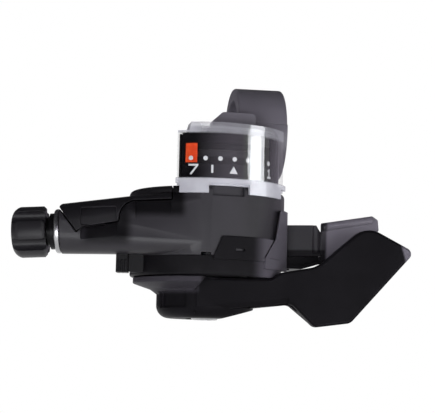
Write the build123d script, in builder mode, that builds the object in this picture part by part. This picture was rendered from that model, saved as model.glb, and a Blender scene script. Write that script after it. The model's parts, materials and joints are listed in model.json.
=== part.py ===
from build123d import *
import os
from math import cos, radians, sin, sqrt

os.makedirs("parts", exist_ok=True)

# Trigger gear shifter, seven positions, for the right-hand side of a flat handlebar.
# The origin is the centre of the handlebar clamp. +X runs along the bar to the rider's right,
# +Y points forwards, away from the rider, and +Z is up. Lengths are in millimetres.
# Bearings are angles about the main axis, from the side that faces the rider, positive to the right.
# Sweeps are angles about the same axis.

# Handlebar clamp
bar_diameter = 22.2
band_width = 16.0
band_wall = 3.9
band_edge = 0.9
band_seat = 1.5
clamp_slit = 1.6
ear_reach = 9.0
ear_width = 10.0
ear_height = 5.2
ear_corner = 3.0
clamp_bolt_diameter = 5.0
clamp_head_diameter = 8.5
clamp_head_height = 4.5
clamp_socket_depth = 2.2
clamp_nut_across = 8.0
clamp_nut_height = 4.0
pedestal_width = 10.0
pedestal_length = 14.0
pedestal_corner = 1.5
pedestal_place = (-2.0, -2.0)
saddle_screw_insets = (3.6, 6.8)
saddle_screw_bearings = (125.4, 101.0)
saddle_screw_bite = 5.5
lug_left = 17.5
lug_right = 3.2
lug_depth = 3.4
lug_height = 4.1
lug_slope = (3.6, 3.3)
lug_bevel = 1.5
hook_depth = 1.6
hook_height = 1.1

# Main axis and the stack of pieces on it, from the deck down
axis_x = -17.0
axis_y = -9.0
deck_drop = 21.5
deck_thickness = 2.5
running_gap = 0.25
spring_room = 5.7
spool_height = 7.5
ratchet_step = 0.5
ratchet_thickness = 2.4
thrust_thickness = 2.3
thrust_radius = 8.0
release_thickness = 2.2
floor_thickness = 3.15
lever_gap = 0.4
hub_height = 9.6
washer_thickness = 1.0
washer_radius = 6.0
bolt_head_height = 2.0
bolt_head_radius = 4.4
bolt_head_bevel = 0.5
bolt_socket_depth = 1.4

# Axle and fits
bolt_diameter = 5.0
bolt_end = 0.8
sleeve_wall = 1.45
fit_clearance = 0.05
shaft_clearance = 0.06
open_clearance = 0.5
cut_margin = 1.0
nut_across = 8.0
nut_height = 4.0

# Housing and base
pod_radius = 25.0
pod_wall = 2.4
pod_edge = 1.4
housing_height = 21.5
flank_bearing = 52.0
flank_tilt = 4.0
base_step = 0.6
base_round = 0.7
screw_lug_radius = 3.2
screw_lug_reach = 1.8
screw_lug_height = 11.0
screw_bearings = (145, 215)
screw_bite = 8.5
screw_end_gap = 1.0
base_ear_thickness = 2.6
screw_diameter = 2.8
screw_head_diameter = 4.6
screw_head_height = 1.9
tongue_bearings = (-3.0, 52.0)
tongue_height = 6.0
tongue_thickness = 0.85
tongue_root = 1.2
tongue_slant = 2.6
tongue_gap = 0.35
tongue_slot_bearings = (12.3, 19.1)
tongue_slot_lift = 1.5
tongue_slot_height = 0.7
wing_bearings = (39.0, 74.0)
wing_thickness = 1.2
wing_height = 19.0
wing_lift = 2.6
wing_knee = (4.2, 6.4)
wing_lean = 1.6
latch_bearings = (-4.5, 19.0)
latch_depth = 1.2
latch_height = 3.0
notch_bearings = (-12.0, -5.0)
notch_rise = 0.9

# Cable sleeve, cover and plug
cable_yaw = 11.0
cable_dip = 3.0
groove_below_deck = 12.5
cable_way_radius = 3.0
sleeve_length = 44.0
sleeve_root_back = 8.0
sleeve_root_rise = 12.0
sleeve_root_drop = 8.6
sleeve_root_corner = 4.0
sleeve_end_radius = 7.0
sleeve_end_rise = 1.4
sleeve_end_corner = 6.4
cover_gap = 0.45
cover_seam = 9.0
cover_seam_height = 8.2
cover_step = 25.6
cover_step_height = 1.8
cover_step_lean = 1.25
cover_step_round = 5.0
cover_corner = 0.5
cover_fall = 1.4
cover_notch = 38.8
cover_notch_run = 2.2
cover_notch_height = -1.2
cover_end_height = 7.6
cover_slant = 0.8
pad_depth = 0.6
pad_start = 26.4
pad_length = 11.0
pad_height = 5.6
pad_round = 0.6
scoop_gap = 0.5
scoop_depth = 1.6
scoop_fall = 5.6
scoop_end = 37.6
plug_width = 3.6
plug_depth = 5.0
plug_station = 25.1
plug_back = 2.3
plug_sink = 7.3
plug_length = 6.0
plug_rib = 0.5
plug_rib_length = 3.8

# Barrel adjuster, placed along the cable from where it leaves the spool
ring_thickness = 1.9
ring_radius = 6.85
ring_round = 0.8
insert_radius = 5.0
insert_length = 14.0
insert_flange_radius = 5.6
insert_flange = 1.4
thread_length = 8.5
detent_radius = 4.5
detent_wall = 1.25
detent_length = 8.5
detent_show = 1.0
stem_clearance = 0.1
stem_length = 16.8
stem_seat = 1.8
knob_gap = 0.2
knob_length = 10.6
knob_radius = 7.9
knob_edge = 0.8
dome_length = 2.7
dome_radius = 4.2
dome_swell = 1.2
knob_lobes = 5
lobe_radius = 2.0
lobe_depth = 2.6
housing_bore_diameter = 5.1
housing_bore_depth = 8.0
cable_bore_diameter = 2.2

# Indicator
window_bearings = (-31.0, 66.0)
window_wall = 1.4
window_height = 19.7
window_roof = 1.0
seat_slack = 0.5
flange_lift = 0.6
flange_height = 1.7
flange_thickness = 0.9
foot_drop = 2.4
left_foot = (-28.0, -7.5)
right_foot = (22.0, 56.0)
plate_gap = 1.4
plate_wall = 0.6
plate_top_gap = 0.4
plate_slack = 0.1
post_sweep = 1.3
stem_gap = 0.3
stem_wall = 1.0
stem_sweep = 8.1
tower_gap = 0.7
tower_wall = 1.2
shoulder_run = 3.9
shoulder_lean = 0.6
shoulder_drop = 2.6
pointer_bearing = -21.6
pointer_sweep = 9.1
pointer_height = 6.0
pointer_lift = 10.3
pointer_wall = 0.6
neck_sweep = 3.0
neck_height = 1.2
slot_sweep = 1.5
slot_gap = 0.6

# Spool and ratchet
click_teeth = 33
clicks = 6
drum_gap = 0.6
flange_rim = 1.0
tooth_depth = 1.6
tooth_foot = 0.4
boss_radius = 9.5
spool_hub_radius = 6.0
groove_width = 1.8
cable_diameter = 1.2
spool_web = 2.4
pocket_inner = 11.5
pocket_rim = 2.4
pocket_rib_sweep = 12.0
spool_pockets = 6
nipple_diameter = 4.8
nipple_inset = 1.0
nipple_bearing = 150.0
pivot_inset = 2.8
pawl_eye_radius = 2.3
pawl_pin_diameter = 2.6
pawl_nose_gap = 0.4
pawl_nose_width = 2.4
pawl_sweep = 31.0
tail_sweep = 14.0
tail_width = 2.4
tail_gap_sweep = 1.0
hold_bearing = 28.0
pull_bearing = 190.0
pin_slot_slack = 5.5
lever_travel = 45.0
release_travel = 14.0
opening_slack = 3.0
spring_strip = 0.7
spring_pitch = 1.5
spool_spring_halves = 5
lever_spring_halves = 5
release_spring_halves = 4
pawl_spring_halves = 2

# Thumb lever, with its outline given from where its arm passes the pod's side and from the top of the hub
flare_start = -178.0
flare_inset = 1.1
flare_skirt = 1.6
flare_knee = (2.0, 3.5)
flare_round = 2.4
flare_rim = 0.5
flare_fall = 5.0
flare_end = -3.4
flare_end_slant = 3.0
hub_radius = 15.6
hub_drop = 12.5
hub_round = 4.0
hub_cut = (4.0, 9.3)
arm_left = -5.3
arm_low = -11.2
arm_back = 3.0
arm_waist = (2.0, 5.0)
arm_bulge = 1.7
arm_gap = 0.5
arm_inset = 0.5
arm_rise = (3.0, 2.2)
arm_root = (6.3, -7.7)
rise_rounds = (1.5, 1.5)
root_round = 2.0
arm_bevel = 2.2
neck_reach = 12.0
paddle_throat = (14.5, 4.4)
paddle_peak = (29.4, 17.7)
paddle_tip = (44.7, 9.6)
paddle_heel = (24.7, -13.2)
paddle_toe = (13.5, -14.8)
throat_round = 9.0
peak_round = 7.0
tip_round = 2.0
heel_round = 3.0
toe_round = 2.5
paddle_sweep = 6.6
paddle_thickness = 2.8
paddle_edge = 0.7
core_spans = ((-13.0, -6.0), (1.5, 8.5))
core_wall = 1.8
spring_well_radius = 12.6
spring_well_depth = 6.6
well_wall = 1.2
hub_window = (-75.0, -31.0)
hub_window_depth = 1.2
hub_window_low = 9.3
hub_window_height = 5.0

# Release lever, with its blade given from the end of its arm and from the arm's top
release_bearings = (82.0, 101.0)
release_ring_radius = 9.0
riser_step = 2.0
arm_top_below_deck = 9.5
arm_height = 10.0
arm_length = 9.5
blade_peak = (17.1, 3.8)
blade_corner = (19.1, 2.6)
blade_end = (19.5, -1.4)
blade_waist = (12.5, -1.6)
blade_heel = (0.5, -12.2)
blade_round = 0.8
waist_round = 3.0
blade_face = 8.0
blade_lean = 2.8
blade_thickness = 2.2
blade_bead = 1.3
web_foot = 14.2
web_reach = 3.5
web_thickness = 2.4
web_rim = (1.1, 6.4)
release_bevel = (3.2, 1.6)
release_rim = 0.7
arm_groove = (1.5, 2.0, 9.0)
finger_sweep = 5.8

# Positions that follow from the sizes above
bar_radius = bar_diameter / 2
band_radius = bar_radius + band_wall
deck_top = -deck_drop
deck_low = deck_top - deck_thickness
spool_top = deck_low - running_gap - spring_room
spool_low = spool_top - spool_height
ratchet_top = spool_low - ratchet_step
ratchet_low = ratchet_top - ratchet_thickness
thrust_top = ratchet_low - 2 * running_gap
thrust_low = thrust_top - thrust_thickness
release_top = thrust_low - running_gap
release_low = release_top - release_thickness
floor_top = release_low - running_gap
base_low = floor_top - floor_thickness
housing_low = deck_top - housing_height
lever_top = base_low - lever_gap
hub_low = lever_top - hub_height
washer_top = hub_low - running_gap
washer_low = washer_top - washer_thickness
cavity_radius = pod_radius - pod_wall
base_radius = pod_radius - base_step
cut_reach = 2 * pod_radius
bolt_radius = bolt_diameter / 2
axle_inner = bolt_radius + fit_clearance
axle_radius = axle_inner + sleeve_wall
axle_bore = axle_radius + shaft_clearance
groove_z = deck_top - groove_below_deck
drum_radius = cavity_radius - drum_gap
spool_radius = drum_radius - flange_rim
groove_floor = spool_radius - cable_diameter / 2
click_angle = 360 / click_teeth
spool_travel = clicks * click_angle
pivot_radius = cavity_radius - pivot_inset
tooth_tip = pivot_radius - pawl_eye_radius - open_clearance
tooth_root = tooth_tip - tooth_depth
pawl_reach = tooth_tip + pawl_nose_gap
tail_inner = pivot_radius - tail_width / 2
tail_outer = pivot_radius + tail_width / 2
pin_radius = pawl_pin_diameter / 2
screw_radius = screw_diameter / 2
lug_ring = pod_radius + screw_lug_reach
window_top = deck_top + window_height
window_inner = pod_radius - window_wall
plate_radius = window_inner - plate_gap - plate_wall
stem_radius = plate_radius - stem_gap - stem_wall
tower_radius = stem_radius - tower_gap - tower_wall
foot_low = deck_top - foot_drop
tongue_inner = pod_radius + fit_clearance
release_arm_top = deck_top - arm_top_below_deck
release_arm_low = release_arm_top - arm_height
riser_outer = pod_radius + riser_step
arm_end = riser_outer + arm_length
opening_bearings = (release_bearings[0] - opening_slack, release_bearings[1] + release_travel + opening_slack)
lug_back = band_radius + fit_clearance
well_inner = axle_bore + well_wall
flare_radius = base_radius - flare_inset
face_middle = hub_radius + arm_bulge
face_tip = hub_radius + paddle_sweep
arm_start = sqrt((pod_radius + arm_gap) ** 2 - face_middle**2)
sleeve_root_front = pod_radius - spool_radius
finger_end = hold_bearing - tail_sweep - release_travel - tail_gap_sweep

pod = Plane(origin=(axis_x, axis_y, 0))
main_axis = Axis((axis_x, axis_y, 0), (0, 0, 1))
yaw = radians(cable_yaw)
dip = radians(cable_dip)
cable_exit = (axis_x - spool_radius * sin(yaw), axis_y - spool_radius * cos(yaw), groove_z)
cable_way = (-cos(yaw) * cos(dip), sin(yaw) * cos(dip), -sin(dip))
barrel = Plane(origin=cable_exit, x_dir=(-sin(yaw), -cos(yaw), 0), z_dir=cable_way)
cable_side = Plane(origin=cable_exit, x_dir=cable_way, z_dir=(sin(yaw), cos(yaw), 0))
plug_point = barrel.offset(plug_station).from_local_coords((-plug_back, 0, 0))
plug_low = plug_point.Z - plug_sink - plug_length
plug_plane = Plane(origin=(plug_point.X, plug_point.Y, plug_low), x_dir=(cos(yaw), -sin(yaw), 0))
lever_side = Plane(origin=(axis_x + arm_start, axis_y, lever_top), x_dir=(1, 0, 0), z_dir=(0, -1, 0))
blade_side = Plane(origin=(axis_x + arm_end, axis_y, release_arm_top), x_dir=(1, 0, 0), z_dir=(0, -1, 0))


def at_bearing(radius, angle):
    """Point on the pod plane at a radius and a bearing."""
    return (radius * sin(radians(angle)), -radius * cos(radians(angle)))


def section_at(angle):
    """Upright plane through the main axis, with its x outwards at a bearing."""
    out = (sin(radians(angle)), -cos(radians(angle)), 0)
    return Plane(origin=(axis_x, axis_y, 0), x_dir=out, z_dir=(out[1], -out[0], 0))


class RingSector(BaseSketchObject):
    """Part of a ring between two radii and two bearings."""

    def __init__(self, inner, outer, start, end, mode=Mode.ADD):
        with BuildSketch() as sector:
            with BuildLine():
                far = CenterArc((0, 0), outer, start - 90, end - start)
                near = CenterArc((0, 0), inner, start - 90, end - start)
                Line(far @ 0, near @ 0)
                Line(far @ 1, near @ 1)
            make_face()
        super().__init__(sector.sketch, 0, None, mode)


class FlatSpring(BaseSketchObject):
    """Spiral strip wound from half turns that grow by one pitch a turn."""

    def __init__(self, radius, pitch, strip, half_turns, mode=Mode.ADD):
        with BuildSketch() as spiral:
            with BuildLine():
                for wall in (0, strip):
                    for turn in range(half_turns):
                        middle = (turn % 2) * pitch / 2
                        reach = radius + wall + turn * pitch / 2
                        CenterArc((middle, 0), reach, 180 * (turn % 2), 180)
                Line((radius, 0), (radius + strip, 0))
                side = -1 if half_turns % 2 else 1
                Line((middle + side * (reach - strip), 0), (middle + side * reach, 0))
            make_face()
        super().__init__(spiral.sketch, 0, None, mode)


class Pawl(BaseSketchObject):
    """Curved pawl that lies round the ratchet, with an eye at its pivot and a tail behind it."""

    def __init__(self, bearing, tail, mode=Mode.ADD):
        pivot = at_bearing(pivot_radius, bearing)
        with BuildSketch() as pawl:
            RingSector(pawl_reach, pawl_reach + pawl_nose_width, bearing, bearing + pawl_sweep)
            if tail > 0:
                RingSector(tail_inner, tail_outer, bearing - tail, bearing)
            with Locations(pivot):
                Circle(pawl_eye_radius)
                Circle(pin_radius + shaft_clearance, mode=Mode.SUBTRACT)
        super().__init__(pawl.sketch, 0, None, mode)


def pod_form(grow):
    """Round pod with its rounded top edge and flat flank, wider all round by grow."""
    flank_out = (sin(radians(flank_bearing)), -cos(radians(flank_bearing)))
    flank_reach = pod_radius + grow
    flank_place = (axis_x + flank_reach * flank_out[0], axis_y + flank_reach * flank_out[1], deck_top)
    with BuildPart() as form:
        with BuildSketch(pod.offset(base_low)):
            Circle(pod_radius + grow)
        extrude(amount=deck_top - base_low)
        fillet(form.edges().sort_by(Axis.Z)[-1], pod_edge)
        split(
            bisect_by=Plane(origin=flank_place, z_dir=(*flank_out, -sin(radians(flank_tilt)))),
            keep=Keep.BOTTOM,
        )
    return form.part


def sleeve_sections(grow):
    """Sketches across the cable sleeve at the pod and at its left end, larger all round by grow."""
    root_width = sleeve_root_front + sleeve_root_back + 2 * grow
    root_height = sleeve_root_rise + sleeve_root_drop + 2 * grow
    root_middle = ((sleeve_root_front - sleeve_root_back) / 2, (sleeve_root_rise - sleeve_root_drop) / 2)
    with BuildSketch(barrel) as root:
        with Locations(root_middle):
            RectangleRounded(root_width, root_height, sleeve_root_corner + grow)
    end_width = 2 * (sleeve_end_radius + grow)
    with BuildSketch(barrel.offset(sleeve_length)) as tip:
        with Locations((0, sleeve_end_rise / 2)):
            RectangleRounded(end_width, end_width + sleeve_end_rise, sleeve_end_corner + grow)
    return [root.sketch.face(), tip.sketch.face()]


def sleeve_front(station):
    """How far the sleeve's front face stands from the cable line at a station."""
    return sleeve_root_front + (sleeve_end_radius - sleeve_root_front) * station / sleeve_length


# Outline of the cable cover on the upright plane along the cable: across the deck at the seam,
# round the pod below the deck, down beside the pod, along the sleeve and up at its end
with BuildSketch(cable_side) as cover_region:
    with BuildLine():
        FilletPolyline(
            (cover_seam, cut_reach),
            (cover_seam, cover_seam_height),
            (cover_step - cover_step_lean, cover_seam_height),
            (cover_step, cover_step_height),
            (cover_notch - cover_notch_run, cover_step_height - cover_fall),
            (cover_notch, cover_notch_height),
            (sleeve_length + cut_margin, cover_end_height),
            (sleeve_length + cut_margin, cut_reach),
            radius=[0, cover_corner, cover_step_round, cover_corner, cover_corner, cover_corner, 0, 0],
            close=True,
        )
    make_face()

with BuildSketch(cable_side) as cover_outline:
    add(cover_region.sketch_local)
    offset(amount=-cover_gap, kind=Kind.INTERSECTION, mode=Mode.REPLACE)

# Notch above the stepped left shoulder of the indicator, seen from the rider's side
shoulder_left = axis_x + pod_radius * sin(radians(window_bearings[0]))
with BuildSketch(Plane.XZ) as shoulder_wedge:
    with BuildLine():
        Polyline(
            (shoulder_left - cut_margin, window_top - shoulder_drop),
            (shoulder_left + shoulder_run - shoulder_lean, window_top - shoulder_drop),
            (shoulder_left + shoulder_run, window_top),
            (shoulder_left + shoulder_run, window_top + shoulder_drop),
            (shoulder_left - cut_margin, window_top + shoulder_drop),
            close=True,
        )
    make_face()

# Space inside the window, under its roof and its shoulder
with BuildPart() as window_space:
    with BuildSketch(pod.offset(deck_top)):
        RingSector(
            tower_radius - cut_margin,
            window_inner,
            window_bearings[0] - seat_slack,
            window_bearings[1] + seat_slack,
        )
    extrude(amount=window_height)
    with BuildSketch(Plane.XZ):
        with Locations((0, -window_roof)):
            add(shoulder_wedge.sketch_local)
    extrude(amount=cut_reach, mode=Mode.SUBTRACT)
    with BuildSketch(pod.offset(window_top - window_roof)):
        Circle(pod_radius)
    extrude(amount=window_roof, mode=Mode.SUBTRACT)

# Outer form of pod and sleeve, shared by the housing and its cover
with BuildPart() as shell_form:
    add(pod_form(0))
    split(bisect_by=Plane.XY.offset(housing_low), keep=Keep.TOP)
    loft(sections=sleeve_sections(0))

# Space inside the pod and along the sleeve, and the room for the window's flange and feet
with BuildPart() as shell_space:
    with BuildSketch(pod.offset(housing_low)):
        Circle(cavity_radius)
    extrude(amount=deck_low - housing_low)
    with BuildSketch(barrel):
        Circle(cable_way_radius)
    extrude(amount=sleeve_length)
    with BuildSketch(barrel.offset(sleeve_length - insert_length)):
        Circle(insert_radius + fit_clearance)
    extrude(amount=insert_length)
    with BuildSketch(pod.offset(foot_low - fit_clearance)):
        RingSector(
            pod_radius,
            pod_radius + flange_thickness + cut_margin,
            window_bearings[0] - seat_slack,
            window_bearings[1] + seat_slack,
        )
    extrude(amount=window_height)

# Tower that carries the scale plate: curved back wall with a post at each end
with BuildPart() as tower:
    with BuildSketch(pod.offset(deck_top)):
        RingSector(tower_radius, tower_radius + tower_wall, *window_bearings)
        for start in (window_bearings[0], window_bearings[1] - post_sweep):
            RingSector(tower_radius, window_inner - fit_clearance, start, start + post_sweep)
    extrude(amount=window_height)
    add(window_space.part, mode=Mode.INTERSECT)

# Housing: pod with its deck, cable sleeve, indicator tower and screw lugs
with BuildPart() as housing:
    add(shell_form.part)
    with BuildSketch(pod.offset(housing_low)):
        for bearing in screw_bearings:
            with Locations(at_bearing(lug_ring, bearing)):
                Circle(screw_lug_radius)
    extrude(amount=screw_lug_height)
    add(shell_space.part, mode=Mode.SUBTRACT)
    extrude(cover_region.sketch, amount=cut_reach, both=True, mode=Mode.SUBTRACT)
    scoops = (
        (cover_seam + scoop_gap, cover_step - cover_step_round, cover_seam_height),
        (cover_step + scoop_gap, scoop_end, cover_step_height + scoop_gap),
    )
    for start, end, top in scoops:
        front = sleeve_front((start + end) / 2)
        with BuildSketch(barrel.offset(start)):
            with BuildLine():
                Polyline(
                    (front - scoop_depth, top),
                    (front + scoop_depth, top - 2 * scoop_fall),
                    (front + scoop_depth, top),
                    close=True,
                )
            make_face()
        extrude(amount=end - start, mode=Mode.SUBTRACT)
    add(tower.part)
    with BuildSketch(pod.offset(deck_low)):
        Circle(axle_inner)
        RingSector(
            stem_radius - open_clearance,
            stem_radius + stem_wall + open_clearance,
            pointer_bearing - pointer_sweep / 2 - slot_sweep,
            pointer_bearing + pointer_sweep / 2 + spool_travel + slot_sweep,
        )
        for inset, bearing in zip(saddle_screw_insets, saddle_screw_bearings):
            with Locations(at_bearing(cavity_radius - inset, bearing)):
                Circle(screw_radius + fit_clearance)
    extrude(amount=deck_thickness, mode=Mode.SUBTRACT)
    with BuildSketch(pod.offset(housing_low)):
        RingSector(cavity_radius - cut_margin, pod_radius + cut_margin, *opening_bearings)
    extrude(amount=release_arm_top + open_clearance - housing_low, mode=Mode.SUBTRACT)
    with BuildSketch(pod.offset(housing_low)):
        for bearing in screw_bearings:
            with Locations(at_bearing(lug_ring, bearing)):
                Circle(screw_radius + fit_clearance)
    extrude(amount=screw_bite + screw_end_gap, mode=Mode.SUBTRACT)
    with BuildSketch(pod.offset(deck_top - latch_height)):
        RingSector(pod_radius - latch_depth, pod_radius + cut_margin, *latch_bearings)
    extrude(amount=latch_height, mode=Mode.SUBTRACT)
    with BuildSketch(pod.offset(housing_low)):
        RingSector(cavity_radius - cut_margin, pod_radius + cut_margin, *notch_bearings)
    extrude(amount=notch_rise, mode=Mode.SUBTRACT)
    with BuildSketch(plug_plane):
        Rectangle(plug_width + 2 * fit_clearance, plug_depth + 2 * fit_clearance)
    extrude(amount=plug_length, mode=Mode.SUBTRACT)
housing.part.label = "housing"
export_step(housing.part, "parts/housing.step")

# Cable cover: the upper left of the same form, with a shallow recess in the sleeve's front and a slanted end
with BuildPart() as pad_form:
    loft(sections=sleeve_sections(pad_depth))
    loft(sections=sleeve_sections(-pad_depth), mode=Mode.SUBTRACT)
    with BuildSketch(cable_side):
        with Locations((pad_start + pad_length / 2, cover_step_height - cover_fall / 2 + pad_height / 2)):
            RectangleRounded(pad_length, pad_height, pad_round)
    extrude(amount=-cut_reach, mode=Mode.INTERSECT)

with BuildPart() as cable_cover:
    add(shell_form.part)
    add(pad_form.part, mode=Mode.SUBTRACT)
    add(shell_space.part, mode=Mode.SUBTRACT)
    extrude(cover_outline.sketch, amount=cut_reach, both=True, mode=Mode.INTERSECT)
    with BuildSketch(cable_side):
        with BuildLine():
            Polyline(
                (sleeve_length, cover_end_height),
                (sleeve_length + cut_margin, cover_end_height),
                (sleeve_length + cut_margin, cut_reach),
                (sleeve_length - cover_slant * (cut_reach - cover_end_height), cut_reach),
                close=True,
            )
        make_face()
    extrude(amount=cut_reach, both=True, mode=Mode.SUBTRACT)
cable_cover.part.label = "cable_cover"
export_step(cable_cover.part, "parts/cable_cover.step")

# Left edge of the base's wing, seen from the rider's side: it leans to the right towards the top
wing_low = base_low + wing_lift
wing_top = wing_low + wing_height
wing_left = axis_x + tongue_inner * sin(radians(wing_bearings[0]))
wing_edge = (
    (wing_left, housing_low),
    (wing_left + wing_knee[0], housing_low + wing_knee[1]),
    (wing_left + wing_knee[0] + wing_lean, wing_top),
)

# Snap tongue on the front of the base, with a slanted left end, a slot and the wing at its right
with BuildPart() as tongue:
    tongue_low = housing_low - tongue_root
    tongue_top = housing_low + tongue_height
    tongue_left = axis_x + tongue_inner * sin(radians(tongue_bearings[0]))
    with BuildSketch(pod.offset(tongue_low)):
        RingSector(cavity_radius, pod_radius + cut_margin, *tongue_bearings)
    extrude(amount=tongue_root + tongue_height)
    add(pod_form(fit_clearance + tongue_thickness), mode=Mode.INTERSECT)
    add(pod_form(fit_clearance), mode=Mode.SUBTRACT)
    with BuildSketch(Plane.XZ):
        with BuildLine():
            Polyline(
                (tongue_left - cut_margin, housing_low),
                (tongue_left, housing_low),
                (tongue_left + tongue_slant, tongue_top),
                (tongue_left - cut_margin, tongue_top),
                close=True,
            )
        make_face()
        with BuildLine():
            tongue_right = [(x - tongue_gap, z) for x, z in wing_edge]
            Polyline(*tongue_right, (cut_reach, wing_top), (cut_reach, housing_low), close=True)
        make_face()
    extrude(amount=cut_reach, mode=Mode.SUBTRACT)
    with BuildSketch(pod.offset(housing_low + tongue_slot_lift)):
        RingSector(cavity_radius, pod_radius + 2 * tongue_thickness, *tongue_slot_bearings)
    extrude(amount=tongue_slot_height, mode=Mode.SUBTRACT)

# Wing of the base beside the release lever, narrower towards its top
with BuildPart() as wing:
    with BuildSketch(pod.offset(wing_low)):
        RingSector(cavity_radius, pod_radius + wing_thickness + cut_margin, *wing_bearings)
    extrude(amount=wing_height)
    add(pod_form(fit_clearance + wing_thickness), mode=Mode.INTERSECT)
    add(pod_form(fit_clearance), mode=Mode.SUBTRACT)
    with BuildSketch(Plane.XZ):
        with BuildLine():
            Polyline(
                *wing_edge,
                (wing_left - cut_margin, wing_top),
                (wing_left - cut_margin, housing_low),
                close=True,
            )
        make_face()
    extrude(amount=cut_reach, mode=Mode.SUBTRACT)

# Base: floor under the mechanism with a rounded lower edge, tongue, wing and ears
with BuildPart() as base_plate:
    with BuildSketch(pod.offset(base_low)):
        Circle(base_radius)
    extrude(amount=housing_low - base_low)
    fillet(base_plate.edges().sort_by(Axis.Z)[0], base_round)
    with BuildSketch(pod.offset(housing_low - base_ear_thickness)):
        for bearing in screw_bearings:
            with Locations(at_bearing(lug_ring, bearing)):
                Circle(screw_lug_radius)
    extrude(amount=base_ear_thickness)
    with BuildSketch(pod.offset(floor_top)):
        Circle(cavity_radius)
    extrude(amount=housing_low - floor_top, mode=Mode.SUBTRACT)
    with BuildSketch(pod.offset(tongue_low)):
        RingSector(cavity_radius, tongue_inner, *tongue_bearings)
    extrude(amount=tongue_root)
    add(tongue.part)
    with BuildSketch(pod.offset(wing_low)):
        RingSector(cavity_radius, tongue_inner, *wing_bearings)
    extrude(amount=housing_low - wing_low)
    add(wing.part)
    with BuildSketch(pod.offset(base_low)):
        Circle(axle_radius + fit_clearance)
        RingSector(
            pivot_radius - pin_radius - open_clearance,
            pivot_radius + pin_radius + open_clearance,
            pull_bearing - pin_slot_slack,
            pull_bearing + lever_travel + pin_slot_slack,
        )
        with Locations(at_bearing(pivot_radius, hold_bearing)):
            Circle(pin_radius + fit_clearance)
    extrude(amount=floor_thickness, mode=Mode.SUBTRACT)
    with BuildSketch(pod.offset(floor_top)):
        RingSector(cavity_radius - cut_margin, pod_radius + cut_margin, *opening_bearings)
    extrude(amount=housing_low - floor_top, mode=Mode.SUBTRACT)
    with BuildSketch(pod.offset(housing_low - base_ear_thickness)):
        for bearing in screw_bearings:
            with Locations(at_bearing(lug_ring, bearing)):
                Circle(screw_radius + fit_clearance)
    extrude(amount=base_ear_thickness, mode=Mode.SUBTRACT)
base_plate.part.label = "base_plate"
export_step(base_plate.part, "parts/base_plate.step")

# Base screws, driven up through the ears into the lugs
with BuildPart() as base_screws:
    ear_low = housing_low - base_ear_thickness
    for bearing in screw_bearings:
        with BuildSketch(pod.offset(ear_low - screw_head_height)):
            with Locations(at_bearing(lug_ring, bearing)):
                Circle(screw_head_diameter / 2)
        extrude(amount=screw_head_height)
        with BuildSketch(pod.offset(ear_low)):
            with Locations(at_bearing(lug_ring, bearing)):
                Circle(screw_radius)
        extrude(amount=base_ear_thickness + screw_bite)
base_screws.part.label = "base_screws"
export_step(base_screws.part, "parts/base_screws.step")

# Ribbed plug in the sleeve's lower side
with BuildPart() as port_plug:
    with BuildSketch(plug_plane):
        Rectangle(plug_width, plug_depth)
    extrude(amount=plug_length)
    with BuildSketch(plug_plane):
        with GridLocations(plug_width / 3, plug_depth, 3, 2):
            Rectangle(plug_rib, 2 * plug_rib)
    extrude(amount=plug_rib_length)
port_plug.part.label = "port_plug"
export_step(port_plug.part, "parts/port_plug.step")

# Clamp saddle: lower half of the clamp with its pedestal on the deck, front lug and rear ear
ear_end = band_radius + ear_reach
bolt_y = band_radius + ear_reach / 2
with BuildPart() as clamp_saddle:
    with BuildSketch(Plane.YZ):
        Circle(band_radius)
        with BuildLine():
            Polyline(
                (-2 * band_radius, band_seat),
                (0, band_seat),
                (0, -clamp_slit / 2),
                (2 * band_radius, -clamp_slit / 2),
                (2 * band_radius, 2 * band_radius),
                (-2 * band_radius, 2 * band_radius),
                close=True,
            )
        make_face(mode=Mode.SUBTRACT)
    extrude(amount=band_width / 2, both=True)
    with BuildSketch(Plane.XY.offset(-clamp_slit / 2 - ear_height)) as saddle_ear:
        with Locations((0, bar_radius)):
            Rectangle(ear_width, ear_end - bar_radius, align=(Align.CENTER, Align.MIN))
        fillet(saddle_ear.vertices().group_by(Axis.Y)[-1], ear_corner)
    extrude(amount=ear_height)
    with BuildSketch(Plane(origin=(*pedestal_place, deck_top))):
        RectangleRounded(pedestal_width, pedestal_length, pedestal_corner)
    extrude(amount=deck_drop - bar_radius)
    with BuildSketch(Plane.XZ.offset(lug_back)):
        with BuildLine():
            FilletPolyline(
                (-lug_left, deck_top),
                (-lug_left, lug_height - lug_slope[1]),
                (-lug_left + lug_slope[0], lug_height),
                (-lug_right, lug_height),
                (-lug_right, deck_top),
                radius=[0, lug_bevel, lug_bevel, lug_bevel, 0],
                close=True,
            )
        make_face()
    extrude(amount=lug_depth)
    with BuildSketch(Plane.XZ.offset(bar_radius)):
        with Locations((-lug_right, band_seat)):
            Rectangle(band_width / 2 - lug_right, deck_drop + band_seat, align=(Align.MAX, Align.MAX))
    extrude(amount=lug_back - bar_radius)
    with BuildSketch(Plane.YZ):
        Circle(bar_radius)
    extrude(amount=2 * band_width, both=True, mode=Mode.SUBTRACT)
    with BuildSketch(Plane.YZ):
        with Locations((-lug_back, band_seat + hook_height)):
            Rectangle(2 * hook_depth + 2 * fit_clearance, hook_height + 2 * fit_clearance)
    extrude(amount=-band_width / 2 - fit_clearance, mode=Mode.SUBTRACT)
    with BuildSketch(Plane.XY.offset(-clamp_slit / 2 - ear_height)):
        with Locations((0, bolt_y)):
            Circle(clamp_bolt_diameter / 2 + fit_clearance)
    extrude(amount=ear_height, mode=Mode.SUBTRACT)
    with BuildSketch(pod.offset(deck_top)):
        for inset, bearing in zip(saddle_screw_insets, saddle_screw_bearings):
            with Locations(at_bearing(cavity_radius - inset, bearing)):
                Circle(screw_radius + fit_clearance)
    extrude(amount=saddle_screw_bite + open_clearance, mode=Mode.SUBTRACT)
clamp_saddle.part.label = "clamp_saddle"
export_step(clamp_saddle.part, "parts/clamp_saddle.step")

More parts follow.
